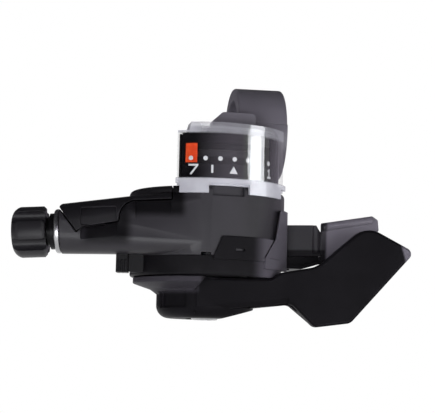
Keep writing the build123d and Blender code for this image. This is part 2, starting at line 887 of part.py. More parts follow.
# Clamp band: upper half with its front hook under the lug and its rear ear
with BuildPart() as clamp_band:
    with BuildSketch(Plane.YZ):
        Circle(band_radius)
        Circle(bar_radius, mode=Mode.SUBTRACT)
        with BuildLine():
            Polyline(
                (-2 * band_radius, band_seat + fit_clearance),
                (0, band_seat + fit_clearance),
                (0, clamp_slit / 2),
                (2 * band_radius, clamp_slit / 2),
                (2 * band_radius, 2 * band_radius),
                (-2 * band_radius, 2 * band_radius),
                close=True,
            )
        make_face(mode=Mode.INTERSECT)
    extrude(amount=band_width / 2, both=True)
    rims = clamp_band.edges().filter_by(GeomType.CIRCLE).sort_by(SortBy.RADIUS)[-2:]
    fillet(rims, band_edge)
    with BuildSketch(Plane.XY.offset(clamp_slit / 2)) as band_ear:
        with Locations((0, bar_radius + band_wall / 2)):
            Rectangle(ear_width, ear_reach + band_wall / 2, align=(Align.CENTER, Align.MIN))
        fillet(band_ear.vertices().group_by(Axis.Y)[-1], ear_corner)
    extrude(amount=ear_height)
    with BuildSketch(Plane.YZ.offset(-band_width / 2)):
        with Locations((-band_radius, band_seat + hook_height)):
            Rectangle(2 * hook_depth, hook_height)
    extrude(amount=band_width / 2 - lug_right - fit_clearance)
    with BuildSketch(Plane.XY.offset(clamp_slit / 2)):
        with Locations((0, bolt_y)):
            Circle(clamp_bolt_diameter / 2 + fit_clearance)
    extrude(amount=ear_height, mode=Mode.SUBTRACT)
clamp_band.part.label = "clamp_band"
export_step(clamp_band.part, "parts/clamp_band.step")

# Clamp bolt from below, with a hexagon socket, and its nut on the upper ear
with BuildPart() as clamp_bolt:
    bolt_seat = -clamp_slit / 2 - ear_height
    with BuildSketch(Plane.XY.offset(bolt_seat - clamp_head_height)):
        with Locations((0, bolt_y)):
            Circle(clamp_head_diameter / 2)
    extrude(amount=clamp_head_height)
    with BuildSketch(Plane.XY.offset(bolt_seat - clamp_head_height)):
        with Locations((0, bolt_y)):
            RegularPolygon(clamp_bolt_diameter / 2, 6)
    extrude(amount=clamp_socket_depth, mode=Mode.SUBTRACT)
    with BuildSketch(Plane.XY.offset(bolt_seat)):
        with Locations((0, bolt_y)):
            Circle(clamp_bolt_diameter / 2)
    extrude(amount=2 * ear_height + clamp_slit + clamp_nut_height + bolt_end)
clamp_bolt.part.label = "clamp_bolt"
export_step(clamp_bolt.part, "parts/clamp_bolt.step")

with BuildPart() as clamp_nut:
    with BuildSketch(Plane.XY.offset(clamp_slit / 2 + ear_height)):
        with Locations((0, bolt_y)):
            RegularPolygon(clamp_nut_across / 2, 6, major_radius=False)
            Circle(clamp_bolt_diameter / 2 + fit_clearance, mode=Mode.SUBTRACT)
    extrude(amount=clamp_nut_height)
clamp_nut.part.label = "clamp_nut"
export_step(clamp_nut.part, "parts/clamp_nut.step")

# Saddle screws, driven up through the deck into the pedestal
with BuildPart() as saddle_screws:
    for inset, bearing in zip(saddle_screw_insets, saddle_screw_bearings):
        with BuildSketch(pod.offset(deck_low - screw_head_height)):
            with Locations(at_bearing(cavity_radius - inset, bearing)):
                Circle(screw_head_diameter / 2)
        extrude(amount=screw_head_height)
        with BuildSketch(pod.offset(deck_low)):
            with Locations(at_bearing(cavity_radius - inset, bearing)):
                Circle(screw_radius)
        extrude(amount=deck_thickness + saddle_screw_bite)
saddle_screws.part.label = "saddle_screws"
export_step(saddle_screws.part, "parts/saddle_screws.step")

# Indicator: clear window, scale plate behind it and the pointer that rides on the spool
with BuildPart() as indicator_window:
    with BuildSketch(pod.offset(deck_top)):
        RingSector(tower_radius, pod_radius, *window_bearings)
    extrude(amount=window_height)
    extrude(shoulder_wedge.sketch, amount=cut_reach, mode=Mode.SUBTRACT)
    add(window_space.part, mode=Mode.SUBTRACT)
    with BuildSketch(pod.offset(deck_top + flange_lift)):
        RingSector(pod_radius - window_wall / 2, pod_radius + flange_thickness, *window_bearings)
    extrude(amount=flange_height)
    with BuildSketch(pod.offset(foot_low)):
        RingSector(pod_radius + fit_clearance, pod_radius + flange_thickness, *left_foot)
        RingSector(pod_radius + fit_clearance, pod_radius + flange_thickness, *right_foot)
    extrude(amount=foot_drop + flange_lift)
indicator_window.part.label = "indicator_window"
export_step(indicator_window.part, "parts/indicator_window.step")

slot_z = deck_top + pointer_lift
with BuildPart() as scale_plate:
    with BuildSketch(pod.offset(deck_top)):
        RingSector(
            plate_radius,
            plate_radius + plate_wall,
            window_bearings[0] + post_sweep + plate_slack,
            window_bearings[1] - post_sweep - plate_slack,
        )
    extrude(amount=window_height - window_roof - plate_top_gap)
    with BuildSketch(Plane.XZ):
        with Locations((0, -window_roof - plate_top_gap)):
            add(shoulder_wedge.sketch_local)
    extrude(amount=cut_reach, mode=Mode.SUBTRACT)
    with BuildSketch(pod.offset(slot_z - neck_height / 2 - slot_gap)):
        RingSector(
            plate_radius - cut_margin,
            plate_radius + plate_wall + cut_margin,
            pointer_bearing - neck_sweep / 2 - slot_sweep,
            pointer_bearing + neck_sweep / 2 + spool_travel + slot_sweep,
        )
    extrude(amount=neck_height + 2 * slot_gap, mode=Mode.SUBTRACT)
scale_plate.part.label = "scale_plate"
export_step(scale_plate.part, "parts/scale_plate.step")

flag_radius = plate_radius + plate_wall + running_gap
with BuildPart() as gear_pointer:
    with BuildSketch(pod.offset(spool_top)):
        RingSector(
            stem_radius,
            stem_radius + stem_wall,
            pointer_bearing - stem_sweep / 2,
            pointer_bearing + stem_sweep / 2,
        )
    extrude(amount=slot_z + neck_height / 2 - spool_top)
    with BuildSketch(pod.offset(slot_z - neck_height / 2)):
        RingSector(
            stem_radius,
            flag_radius + pointer_wall / 2,
            pointer_bearing - neck_sweep / 2,
            pointer_bearing + neck_sweep / 2,
        )
    extrude(amount=neck_height)
    with BuildSketch(pod.offset(slot_z - pointer_height / 2)):
        RingSector(
            flag_radius,
            flag_radius + pointer_wall,
            pointer_bearing - pointer_sweep / 2,
            pointer_bearing + pointer_sweep / 2,
        )
    extrude(amount=pointer_height)
gear_pointer.part.label = "gear_pointer"
export_step(gear_pointer.part, "parts/gear_pointer.step")

# Cable spool: grooved drum with pockets, a place for the cable's end and a six-sided boss below
with BuildPart() as cable_spool:
    with BuildSketch(section_at(90)):
        with BuildLine():
            Polyline(
                (axle_bore, deck_low - running_gap),
                (spool_hub_radius, deck_low - running_gap),
                (spool_hub_radius, spool_top),
                (drum_radius, spool_top),
                (drum_radius, groove_z + groove_width / 2),
                (groove_floor, groove_z + cable_diameter / 2),
                (groove_floor, groove_z - cable_diameter / 2),
                (drum_radius, groove_z - groove_width / 2),
                (drum_radius, spool_low),
                (axle_bore, spool_low),
                close=True,
            )
        make_face()
    revolve(axis=main_axis)
    with BuildSketch(pod.offset(spool_low + spool_web)):
        for pocket in range(spool_pockets):
            start = pocket * 360 / spool_pockets + pocket_rib_sweep / 2
            end = start + 360 / spool_pockets - pocket_rib_sweep
            RingSector(pocket_inner, groove_floor - pocket_rim, start, end)
    extrude(amount=spool_height, mode=Mode.SUBTRACT)
    with BuildSketch(pod.offset(groove_z - cable_diameter)):
        with Locations(at_bearing(groove_floor - nipple_inset, nipple_bearing)):
            Circle(nipple_diameter / 2)
    extrude(amount=spool_height, mode=Mode.SUBTRACT)
    with BuildSketch(pod.offset(ratchet_low - running_gap)):
        RegularPolygon(boss_radius, 6)
        Circle(axle_bore, mode=Mode.SUBTRACT)
    extrude(amount=spool_low - ratchet_low + running_gap)
cable_spool.part.label = "cable_spool"
export_step(cable_spool.part, "parts/cable_spool.step")

# Ratchet wheel: stamped plate with one tooth for each click round the whole wheel
with BuildPart() as ratchet_wheel:
    with BuildSketch(pod.offset(ratchet_low)):
        Circle(tooth_root)
        with PolarLocations(0, click_teeth):
            Polygon(
                (tooth_root - tooth_foot, 0),
                (tooth_tip, 0),
                (tooth_root * cos(radians(click_angle)), tooth_root * sin(radians(click_angle))),
                align=None,
            )
        RegularPolygon(boss_radius + fit_clearance, 6, mode=Mode.SUBTRACT)
    extrude(amount=ratchet_thickness)
ratchet_wheel.part.label = "ratchet_wheel"
export_step(ratchet_wheel.part, "parts/ratchet_wheel.step")

# Axle: bolt from below, sleeve that the spool and the levers turn on, nut on the deck and two washers
with BuildPart() as main_bolt:
    with BuildSketch(pod.offset(washer_low - bolt_head_height)):
        Circle(bolt_head_radius)
    extrude(amount=bolt_head_height)
    chamfer(main_bolt.edges().sort_by(Axis.Z)[0], bolt_head_bevel)
    with BuildSketch(pod.offset(washer_low)):
        Circle(bolt_radius)
    extrude(amount=deck_top + nut_height + bolt_end - washer_low)
    with BuildSketch(pod.offset(washer_low - bolt_head_height)):
        RegularPolygon(bolt_radius, 6)
    extrude(amount=bolt_socket_depth, mode=Mode.SUBTRACT)
main_bolt.part.label = "main_bolt"
export_step(main_bolt.part, "parts/main_bolt.step")

with BuildPart() as axle_sleeve:
    with BuildSketch(pod.offset(washer_top)):
        Circle(axle_radius)
        Circle(axle_inner, mode=Mode.SUBTRACT)
    extrude(amount=deck_low - washer_top)
axle_sleeve.part.label = "axle_sleeve"
export_step(axle_sleeve.part, "parts/axle_sleeve.step")

with BuildPart() as main_nut:
    with BuildSketch(pod.offset(deck_top)):
        RegularPolygon(nut_across / 2, 6, major_radius=False)
        Circle(axle_inner, mode=Mode.SUBTRACT)
    extrude(amount=nut_height)
main_nut.part.label = "main_nut"
export_step(main_nut.part, "parts/main_nut.step")

with BuildPart() as hub_washer:
    with BuildSketch(pod.offset(washer_low)):
        Circle(washer_radius)
        Circle(axle_inner, mode=Mode.SUBTRACT)
    extrude(amount=washer_thickness)
hub_washer.part.label = "hub_washer"
export_step(hub_washer.part, "parts/hub_washer.step")

with BuildPart() as thrust_washer:
    with BuildSketch(pod.offset(thrust_low)):
        Circle(thrust_radius)
        Circle(axle_radius + fit_clearance, mode=Mode.SUBTRACT)
    extrude(amount=thrust_thickness)
thrust_washer.part.label = "thrust_washer"
export_step(thrust_washer.part, "parts/thrust_washer.step")

# Return springs, wound from flat strip
with BuildPart() as spool_spring:
    spring_height = spring_room - 2 * running_gap
    with BuildSketch(pod.offset(deck_low - spring_height)):
        FlatSpring(spool_hub_radius + open_clearance, spring_pitch, spring_strip, spool_spring_halves)
    extrude(amount=spring_height)
spool_spring.part.label = "spool_spring"
export_step(spool_spring.part, "parts/spool_spring.step")

with BuildPart() as lever_spring:
    with BuildSketch(pod.offset(lever_top - spring_well_depth + open_clearance)):
        FlatSpring(well_inner + open_clearance, spring_pitch, spring_strip, lever_spring_halves)
    extrude(amount=spring_well_depth + lever_gap - open_clearance)
lever_spring.part.label = "lever_spring"
export_step(lever_spring.part, "parts/lever_spring.step")

with BuildPart() as release_spring:
    with BuildSketch(pod.offset(release_top + running_gap)):
        FlatSpring(thrust_radius + running_gap, spring_pitch, spring_strip, release_spring_halves)
    extrude(amount=thrust_thickness - 2 * running_gap)
release_spring.part.label = "release_spring"
export_step(release_spring.part, "parts/release_spring.step")

# Hold pawl on a pin in the base, with its spring
with BuildPart() as hold_pin:
    with BuildSketch(pod.offset(base_low)):
        with Locations(at_bearing(pivot_radius, hold_bearing)):
            Circle(pin_radius)
    extrude(amount=spool_low - running_gap - base_low)
hold_pin.part.label = "hold_pin"
export_step(hold_pin.part, "parts/hold_pin.step")

with BuildPart() as hold_pawl:
    with BuildSketch(pod.offset(ratchet_low)):
        Pawl(hold_bearing, tail_sweep)
    extrude(amount=ratchet_thickness - running_gap)
hold_pawl.part.label = "hold_pawl"
export_step(hold_pawl.part, "parts/hold_pawl.step")

with BuildPart() as hold_spring:
    with BuildSketch(pod.offset(floor_top)):
        with Locations(at_bearing(pivot_radius, hold_bearing)):
            FlatSpring(pin_radius + running_gap, spring_strip, spring_strip / 2, pawl_spring_halves)
    extrude(amount=ratchet_low - running_gap - floor_top)
hold_spring.part.label = "hold_spring"
export_step(hold_spring.part, "parts/hold_spring.step")

# Pull pawl on a pin in the thumb lever, with its spring
with BuildPart() as pull_pin:
    with BuildSketch(pod.offset(lever_top - flare_skirt)):
        with Locations(at_bearing(pivot_radius, pull_bearing)):
            Circle(pin_radius)
    extrude(amount=spool_low - running_gap - lever_top + flare_skirt)
pull_pin.part.label = "pull_pin"
export_step(pull_pin.part, "parts/pull_pin.step")

with BuildPart() as pull_pawl:
    with BuildSketch(pod.offset(ratchet_low)):
        Pawl(pull_bearing, 0)
    extrude(amount=ratchet_thickness - running_gap)
pull_pawl.part.label = "pull_pawl"
export_step(pull_pawl.part, "parts/pull_pawl.step")

with BuildPart() as pull_spring:
    with BuildSketch(pod.offset(floor_top + running_gap)):
        with Locations(at_bearing(pivot_radius, pull_bearing)):
            FlatSpring(pin_radius + running_gap, spring_strip, spring_strip / 2, pawl_spring_halves)
    extrude(amount=ratchet_low - 2 * running_gap - floor_top)
pull_spring.part.label = "pull_spring"
export_step(pull_spring.part, "parts/pull_spring.step")

# Flared skirt of the thumb lever's hub, cut off at a slant where the arm begins
with BuildPart() as flare:
    with BuildSketch(section_at(flare_start)):
        with BuildLine():
            FilletPolyline(
                (hub_radius - cut_margin, lever_top),
                (flare_radius, lever_top),
                (flare_radius, lever_top - flare_skirt),
                (hub_radius + flare_knee[0], lever_top - flare_knee[1]),
                (hub_radius, lever_top - flare_fall),
                (hub_radius - cut_margin, lever_top - flare_fall),
                radius=[0, 0, flare_rim, flare_round, 0, 0],
                close=True,
            )
        make_face()
    revolve(axis=main_axis, revolution_arc=-flare_start)
    with BuildSketch(Plane(origin=(axis_x, axis_y, lever_top), x_dir=(1, 0, 0), z_dir=(0, -1, 0))):
        with BuildLine():
            Polyline(
                (flare_end, 0),
                (flare_end - flare_end_slant, -flare_fall),
                (cut_margin, -flare_fall),
                (cut_margin, 0),
                close=True,
            )
        make_face()
    extrude(amount=cut_reach, mode=Mode.SUBTRACT)

# Plan of the lever's arm and paddle, from its curved front back to the neck, the waist and the hub
with BuildSketch(pod) as lever_plan:
    with BuildLine():
        paddle_end = arm_start + paddle_tip[0] + cut_margin
        lever_front = ThreePointArc(
            (arm_left, -hub_radius), (arm_start - arm_inset, -face_middle), (paddle_end, -face_tip)
        )
        Polyline(
            lever_front @ 1,
            (paddle_end, -face_tip + paddle_thickness),
            (arm_start + neck_reach, -face_middle + paddle_thickness),
            (arm_start + arm_waist[0], -arm_waist[1]),
            (arm_left, arm_back),
            lever_front @ 0,
        )
    make_face()

# Places where the arm is cored out from below, inside its walls
core_end = arm_start + core_spans[-1][1] + core_wall
with BuildSketch(pod) as lever_inner:
    add(lever_plan.sketch_local)
    with Locations((core_end, 0)):
        Rectangle(core_end - arm_left, cut_reach, align=(Align.MAX, Align.CENTER), mode=Mode.INTERSECT)
    offset(amount=-core_wall, kind=Kind.INTERSECTION, mode=Mode.REPLACE)

with BuildSketch(pod) as cores:
    for left, right in core_spans:
        with Locations((arm_start + (left + right) / 2, -face_middle)):
            Rectangle(right - left, 2 * hub_radius)
    add(lever_inner.sketch_local, mode=Mode.INTERSECT)
    Circle(hub_radius, mode=Mode.SUBTRACT)

# Thumb lever: hub under the base, cored arm and paddle
with BuildPart() as thumb_lever:
    with BuildSketch(lever_side):
        with BuildLine():
            FilletPolyline(
                (arm_left - arm_start, 0),
                (-arm_inset, 0),
                arm_rise,
                paddle_throat,
                paddle_peak,
                paddle_tip,
                paddle_heel,
                paddle_toe,
                arm_root,
                (arm_left - arm_start, arm_low),
                radius=[
                    0,
                    *rise_rounds,
                    throat_round,
                    peak_round,
                    tip_round,
                    heel_round,
                    toe_round,
                    root_round,
                    0,
                ],
                close=True,
            )
        make_face()
    extrude(amount=cut_reach, both=True)
    with BuildSketch(pod.offset(lever_top - cut_reach)):
        add(lever_plan.sketch_local)
    extrude(amount=2 * cut_reach, mode=Mode.INTERSECT)
    front_rim = thumb_lever.faces().sort_by(SortBy.AREA)[-1].outer_wire().edges()
    arm_rim = front_rim.filter_by_position(Axis.X, axis_x + arm_left, axis_x + arm_start + arm_root[0])
    low_edge = arm_rim.sort_by(Axis.Z)[0]
    chamfer([edge for edge in front_rim if edge != low_edge], paddle_edge)
    with BuildSketch(Plane(origin=low_edge @ 0, x_dir=(0, 0, 1), z_dir=low_edge % 0)):
        RegularPolygon(arm_bevel, 4)
    sweep(path=low_edge, mode=Mode.SUBTRACT)
    with BuildSketch(pod.offset(lever_top - core_wall)):
        add(cores.sketch_local)
    extrude(amount=-cut_reach, mode=Mode.SUBTRACT)
    with BuildSketch(section_at(90)):
        with BuildLine():
            FilletPolyline(
                (axle_bore, lever_top),
                (hub_radius, lever_top),
                (hub_radius, lever_top - hub_drop),
                (axle_bore, lever_top - hub_drop),
                radius=[0, 0, hub_round, 0],
                close=True,
            )
        make_face()
    revolve(axis=main_axis)
    with BuildSketch(Plane(origin=(axis_x, axis_y, lever_top), x_dir=(1, 0, 0), z_dir=(0, -1, 0))):
        with BuildLine():
            Polyline(
                (hub_cut[0], -hub_drop),
                (hub_radius, -hub_cut[1]),
                (hub_radius, -hub_drop),
                close=True,
            )
        make_face()
    extrude(amount=cut_reach, both=True, mode=Mode.SUBTRACT)
    add(flare.part)
    with BuildSketch(pod.offset(lever_top - spring_well_depth)):
        Circle(spring_well_radius)
        Circle(well_inner, mode=Mode.SUBTRACT)
    extrude(amount=spring_well_depth, mode=Mode.SUBTRACT)
    with BuildSketch(pod.offset(lever_top)):
        Circle(pod_radius + arm_gap)
    extrude(amount=hub_drop, mode=Mode.SUBTRACT)
    with BuildSketch(pod.offset(lever_top - 2 * hub_drop)):
        Circle(axle_bore)
    extrude(amount=2 * hub_drop, mode=Mode.SUBTRACT)
    with BuildSketch(pod.offset(hub_low)):
        Circle(washer_radius + open_clearance)
    extrude(amount=-2 * hub_drop, mode=Mode.SUBTRACT)
    with BuildSketch(pod.offset(lever_top - flare_skirt)):
        with Locations(at_bearing(pivot_radius, pull_bearing)):
            Circle(pin_radius + fit_clearance)
    extrude(amount=flare_skirt, mode=Mode.SUBTRACT)
    with BuildSketch(pod.offset(lever_top - hub_window_low)):
        RingSector(hub_radius - hub_window_depth, hub_radius + cut_margin, *hub_window)
    extrude(amount=hub_window_height, mode=Mode.SUBTRACT)
thumb_lever.part.label = "thumb_lever"
export_step(thumb_lever.part, "parts/thumb_lever.step")

# Arm of the release lever, bevelled along its front edges and grooved where the blade begins
with BuildPart() as release_arm:
    with BuildSketch(pod.offset(release_arm_low)):
        with BuildLine():
            Polyline(
                at_bearing(pod_radius, release_bearings[0]),
                (arm_end, -blade_face),
                (arm_end, -blade_face + 2 * blade_thickness),
                at_bearing(pod_radius, release_bearings[1]),
                close=True,
            )
        make_face()
    extrude(amount=arm_height)
    release_front = release_arm.faces().sort_by(Axis.Y)[0]
    chamfer(release_front.edges().sort_by(Axis.Z)[-1], *release_bevel, reference=release_front)
    release_front = release_arm.faces().sort_by(Axis.Y)[0]
    chamfer(release_front.edges().sort_by(Axis.Z)[0], release_rim)
    with BuildSketch(pod.offset(release_arm_top)):
        with Locations((arm_end - arm_groove[1], -blade_face)):
            Circle(arm_groove[0])
    extrude(amount=-arm_groove[2], mode=Mode.SUBTRACT)

# Release lever: ring on the axle, finger for the hold pawl, riser through the opening, arm and blade
with BuildPart() as release_lever:
    with BuildSketch(blade_side):
        with BuildLine():
            FilletPolyline(
                (0, 0),
                blade_peak,
                blade_corner,
                blade_end,
                blade_waist,
                blade_heel,
                (0, blade_heel[1]),
                radius=[0, blade_round, blade_round, blade_round, waist_round, 0, 0],
                close=True,
            )
        make_face()
    extrude(amount=cut_reach, both=True)
    with BuildSketch(pod.offset(release_arm_low - arm_height)):
        with BuildLine():
            blade_tip = arm_end + blade_end[0] + cut_margin
            Polyline(
                (arm_end - cut_margin, -blade_face),
                (blade_tip, -blade_face + blade_lean),
                (blade_tip, -blade_face + blade_lean + blade_thickness),
                (arm_end - cut_margin, -blade_face + blade_thickness),
                close=True,
            )
        make_face()
    extrude(amount=4 * arm_height, mode=Mode.INTERSECT)
    bead_start = Vector(axis_x + arm_end, axis_y - blade_face, release_arm_top - blade_bead / 2)
    bead_run = Vector(blade_peak[0], blade_lean, blade_peak[1] - blade_bead / 2)
    with BuildSketch(Plane(origin=bead_start, z_dir=bead_run)):
        Circle(blade_bead)
    extrude(amount=bead_run.length)
    with BuildSketch(blade_side):
        with BuildLine():
            Polyline(
                (pod_radius - arm_end, -arm_height / 2),
                (0, -arm_height / 2),
                blade_heel,
                (web_reach - arm_length, -web_foot),
                (pod_radius - arm_end, -web_foot),
                close=True,
            )
        make_face()
    extrude(amount=web_thickness)
    with BuildSketch(blade_side):
        with BuildLine():
            Polyline(
                blade_heel,
                (blade_heel[0], blade_heel[1] + web_rim[0]),
                (web_reach - arm_length, web_rim[0] - web_foot),
                (pod_radius - arm_end, web_rim[0] - web_foot),
                (pod_radius - arm_end, -web_foot),
                (web_reach - arm_length, -web_foot),
                close=True,
            )
        make_face()
    extrude(amount=web_rim[1])
    with BuildSketch(pod.offset(release_low)):
        Circle(release_ring_radius)
        RingSector(release_ring_radius - cut_margin, riser_outer, *release_bearings)
        RingSector(release_ring_radius - cut_margin, tail_outer, finger_end - finger_sweep, finger_end)
        Circle(axle_bore, mode=Mode.SUBTRACT)
    extrude(amount=release_thickness)
    with BuildSketch(pod.offset(release_low)):
        RingSector(tail_inner, tail_outer, finger_end - finger_sweep, finger_end)
    extrude(amount=ratchet_top - running_gap - release_low)
    with BuildSketch(pod.offset(release_low)):
        RingSector(cavity_radius + open_clearance, riser_outer, *release_bearings)
    extrude(amount=release_arm_top - release_low)
    add(release_arm.part)
release_lever.part.label = "release_lever"
export_step(release_lever.part, "parts/release_lever.step")

# Barrel adjuster: steel ring, threaded insert, sliding detent sleeve, hollow stem and lobed knob
ring_end = sleeve_length + ring_thickness
flange_end = ring_end + insert_flange
detent_end = flange_end + detent_show
knob_start = detent_end + knob_gap
knob_end = knob_start + knob_length
stem_outer = detent_radius - detent_wall - stem_clearance

with BuildPart() as detent_ring:
    with BuildSketch(barrel.offset(sleeve_length)):
        Circle(ring_radius)
        Circle(insert_radius + fit_clearance, mode=Mode.SUBTRACT)
    extrude(amount=ring_thickness)
    fillet(detent_ring.edges().filter_by(GeomType.CIRCLE).sort_by(SortBy.RADIUS)[-2:], ring_round)
detent_ring.part.label = "detent_ring"
export_step(detent_ring.part, "parts/detent_ring.step")

with BuildPart() as barrel_insert:
    with BuildSketch(barrel.offset(sleeve_length - insert_length)):
        Circle(insert_radius)
    extrude(amount=insert_length + ring_thickness)
    with BuildSketch(barrel.offset(ring_end)):
        Circle(insert_flange_radius)
    extrude(amount=insert_flange)
    with BuildSketch(barrel.offset(sleeve_length - insert_length)):
        Circle(stem_outer + shaft_clearance)
    extrude(amount=thread_length, mode=Mode.SUBTRACT)
    with BuildSketch(barrel.offset(sleeve_length - insert_length + thread_length)):
        Circle(detent_radius + shaft_clearance)
    extrude(amount=flange_end - sleeve_length + insert_length - thread_length, mode=Mode.SUBTRACT)
barrel_insert.part.label = "barrel_insert"
export_step(barrel_insert.part, "parts/barrel_insert.step")

with BuildPart() as detent_sleeve:
    with BuildSketch(barrel.offset(detent_end - detent_length)):
        Circle(detent_radius)
        Circle(detent_radius - detent_wall, mode=Mode.SUBTRACT)
    extrude(amount=detent_length)
detent_sleeve.part.label = "detent_sleeve"
export_step(detent_sleeve.part, "parts/detent_sleeve.step")

with BuildPart() as adjuster_stem:
    with BuildSketch(barrel.offset(knob_start - stem_length)):
        Circle(stem_outer)
        Circle(cable_bore_diameter / 2, mode=Mode.SUBTRACT)
    extrude(amount=stem_length + stem_seat)
adjuster_stem.part.label = "adjuster_stem"
export_step(adjuster_stem.part, "parts/adjuster_stem.step")

with BuildPart() as adjuster_knob:
    with BuildSketch(Plane(origin=cable_exit, x_dir=barrel.x_dir, z_dir=-barrel.y_dir)):
        with BuildLine():
            dome = ThreePointArc(
                (knob_radius, knob_end - dome_length),
                ((knob_radius + dome_radius + dome_swell) / 2, knob_end - dome_length / 2 + dome_swell / 2),
                (dome_radius, knob_end),
            )
            Polyline(
                dome @ 1,
                (0, knob_end),
                (0, knob_start),
                (knob_radius - knob_edge, knob_start),
                (knob_radius, knob_start + knob_edge),
                dome @ 0,
            )
        make_face()
    revolve(axis=Axis(cable_exit, cable_way))
    with BuildSketch(barrel.offset(knob_start)):
        with PolarLocations(knob_radius + lobe_radius - lobe_depth, knob_lobes, start_angle=180 / knob_lobes):
            Circle(lobe_radius)
    extrude(amount=knob_length, mode=Mode.SUBTRACT)
    with BuildSketch(barrel.offset(knob_start)):
        Circle(stem_outer + fit_clearance)
    extrude(amount=stem_seat, mode=Mode.SUBTRACT)
    with BuildSketch(barrel.offset(knob_start)):
        Circle(cable_bore_diameter / 2)
    extrude(amount=knob_length, mode=Mode.SUBTRACT)
    with BuildSketch(barrel.offset(knob_end - housing_bore_depth)):
        Circle(housing_bore_diameter / 2)
    extrude(amount=housing_bore_depth, mode=Mode.SUBTRACT)
adjuster_knob.part.label = "adjuster_knob"
export_step(adjuster_knob.part, "parts/adjuster_knob.step")
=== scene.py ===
import json
import math

import bmesh
import bpy
import numpy as np
from mathutils import Matrix, Vector

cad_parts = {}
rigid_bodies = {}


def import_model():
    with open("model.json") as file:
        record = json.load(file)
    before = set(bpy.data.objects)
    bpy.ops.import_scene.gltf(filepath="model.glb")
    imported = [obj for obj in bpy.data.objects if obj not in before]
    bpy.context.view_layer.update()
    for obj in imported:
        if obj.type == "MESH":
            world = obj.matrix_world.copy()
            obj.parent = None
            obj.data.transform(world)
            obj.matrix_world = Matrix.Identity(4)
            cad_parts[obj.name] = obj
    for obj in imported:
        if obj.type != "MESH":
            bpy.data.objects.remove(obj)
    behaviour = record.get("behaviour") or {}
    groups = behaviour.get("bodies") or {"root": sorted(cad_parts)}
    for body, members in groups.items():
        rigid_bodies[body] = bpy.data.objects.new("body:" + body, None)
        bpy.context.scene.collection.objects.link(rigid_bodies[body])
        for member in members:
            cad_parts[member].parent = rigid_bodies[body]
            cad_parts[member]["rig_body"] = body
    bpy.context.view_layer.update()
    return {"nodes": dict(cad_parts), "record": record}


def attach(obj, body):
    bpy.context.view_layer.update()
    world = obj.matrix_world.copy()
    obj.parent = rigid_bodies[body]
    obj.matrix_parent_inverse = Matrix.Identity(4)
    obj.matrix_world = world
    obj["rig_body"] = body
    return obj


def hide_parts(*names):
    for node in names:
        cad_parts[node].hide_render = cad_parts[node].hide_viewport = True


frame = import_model()
nodes = frame["nodes"]
slotOf = {row["node"]: row["material_slot"] for row in frame["record"]["subparts"]}
scene = bpy.context.scene
scene.view_settings.view_transform = "Standard"
mm = 0.001
print("frame:", len(nodes), "nodes")

# shader wiring


class Wire:
    # wraps one shader socket: arithmetic on it adds Math nodes, node() adds any other node
    def __init__(self, tree, socket=None):
        self.tree = tree
        self.socket = socket

    def node(self, kind, settings=None, sockets=None, out=0):
        made = self.tree.nodes.new("ShaderNode" + kind)
        for key, value in (settings or {}).items():
            setattr(made, key, value)
        for key, value in (sockets or {}).items():
            if isinstance(value, Wire):
                self.tree.links.new(value.socket, made.inputs[key])
            else:
                made.inputs[key].default_value = value
        return Wire(self.tree, made.outputs[out] if made.outputs else None)

    def math(self, operation, *terms):
        return self.node("Math", {"operation": operation}, dict(enumerate(terms)))

    def __add__(self, other):
        return self.math("ADD", self, other)

    def __sub__(self, other):
        return self.math("SUBTRACT", self, other)

    def __rsub__(self, other):
        return self.math("SUBTRACT", other, self)

    def __mul__(self, other):
        return self.math("MULTIPLY", self, other)

    def __pow__(self, other):
        return self.math("POWER", self, other)

    def __rpow__(self, other):
        return self.math("POWER", other, self)

    __radd__ = __add__
    __rmul__ = __mul__

    def axis(self, index):
        # x, y or z of a place
        return self.node("SeparateXYZ", sockets={0: self}, out=index)

    def dot(self, other):
        return self.node("VectorMath", {"operation": "DOT_PRODUCT"}, {0: self, 1: other}, out=1)

    def ramp(self, low, high, start=0.0, end=1.0):
        # smooth step from start to end while this value goes from low to high
        values = {"Value": self, "From Min": low, "From Max": high, "To Min": start, "To Max": end}
        return self.node("MapRange", {"interpolation_type": "SMOOTHSTEP"}, values)

    def tint(self, first, second):
        # colour between two colours, this value as the share of the second
        return self.node("Mix", {"data_type": "RGBA"}, {0: self, 6: first, 7: second}, out=2)


def startFinish(name):
    # empty material and its object coordinates
    material = bpy.data.materials.new(name)
    material.use_nodes = True
    material.node_tree.nodes.clear()
    return material, Wire(material.node_tree).node("TexCoord", out=3)


def sealFinish(material, surface):
    surface.node("OutputMaterial", sockets={"Surface": surface})
    return material


def noise(place, scale, detail=2.0):
    return place.node("TexNoise", sockets={"Vector": place, "Scale": scale, "Detail": detail})


middle = (0.3, 0.7)  # most of a noise's values lie in here
tightMiddle = (0.35, 0.65)
coolGrey = (1.0, 0.91, 1.09)  # the plastics are a little violet


def shade(grey):
    return tuple(grey * part for part in coolGrey) + (1.0,)


# finishes

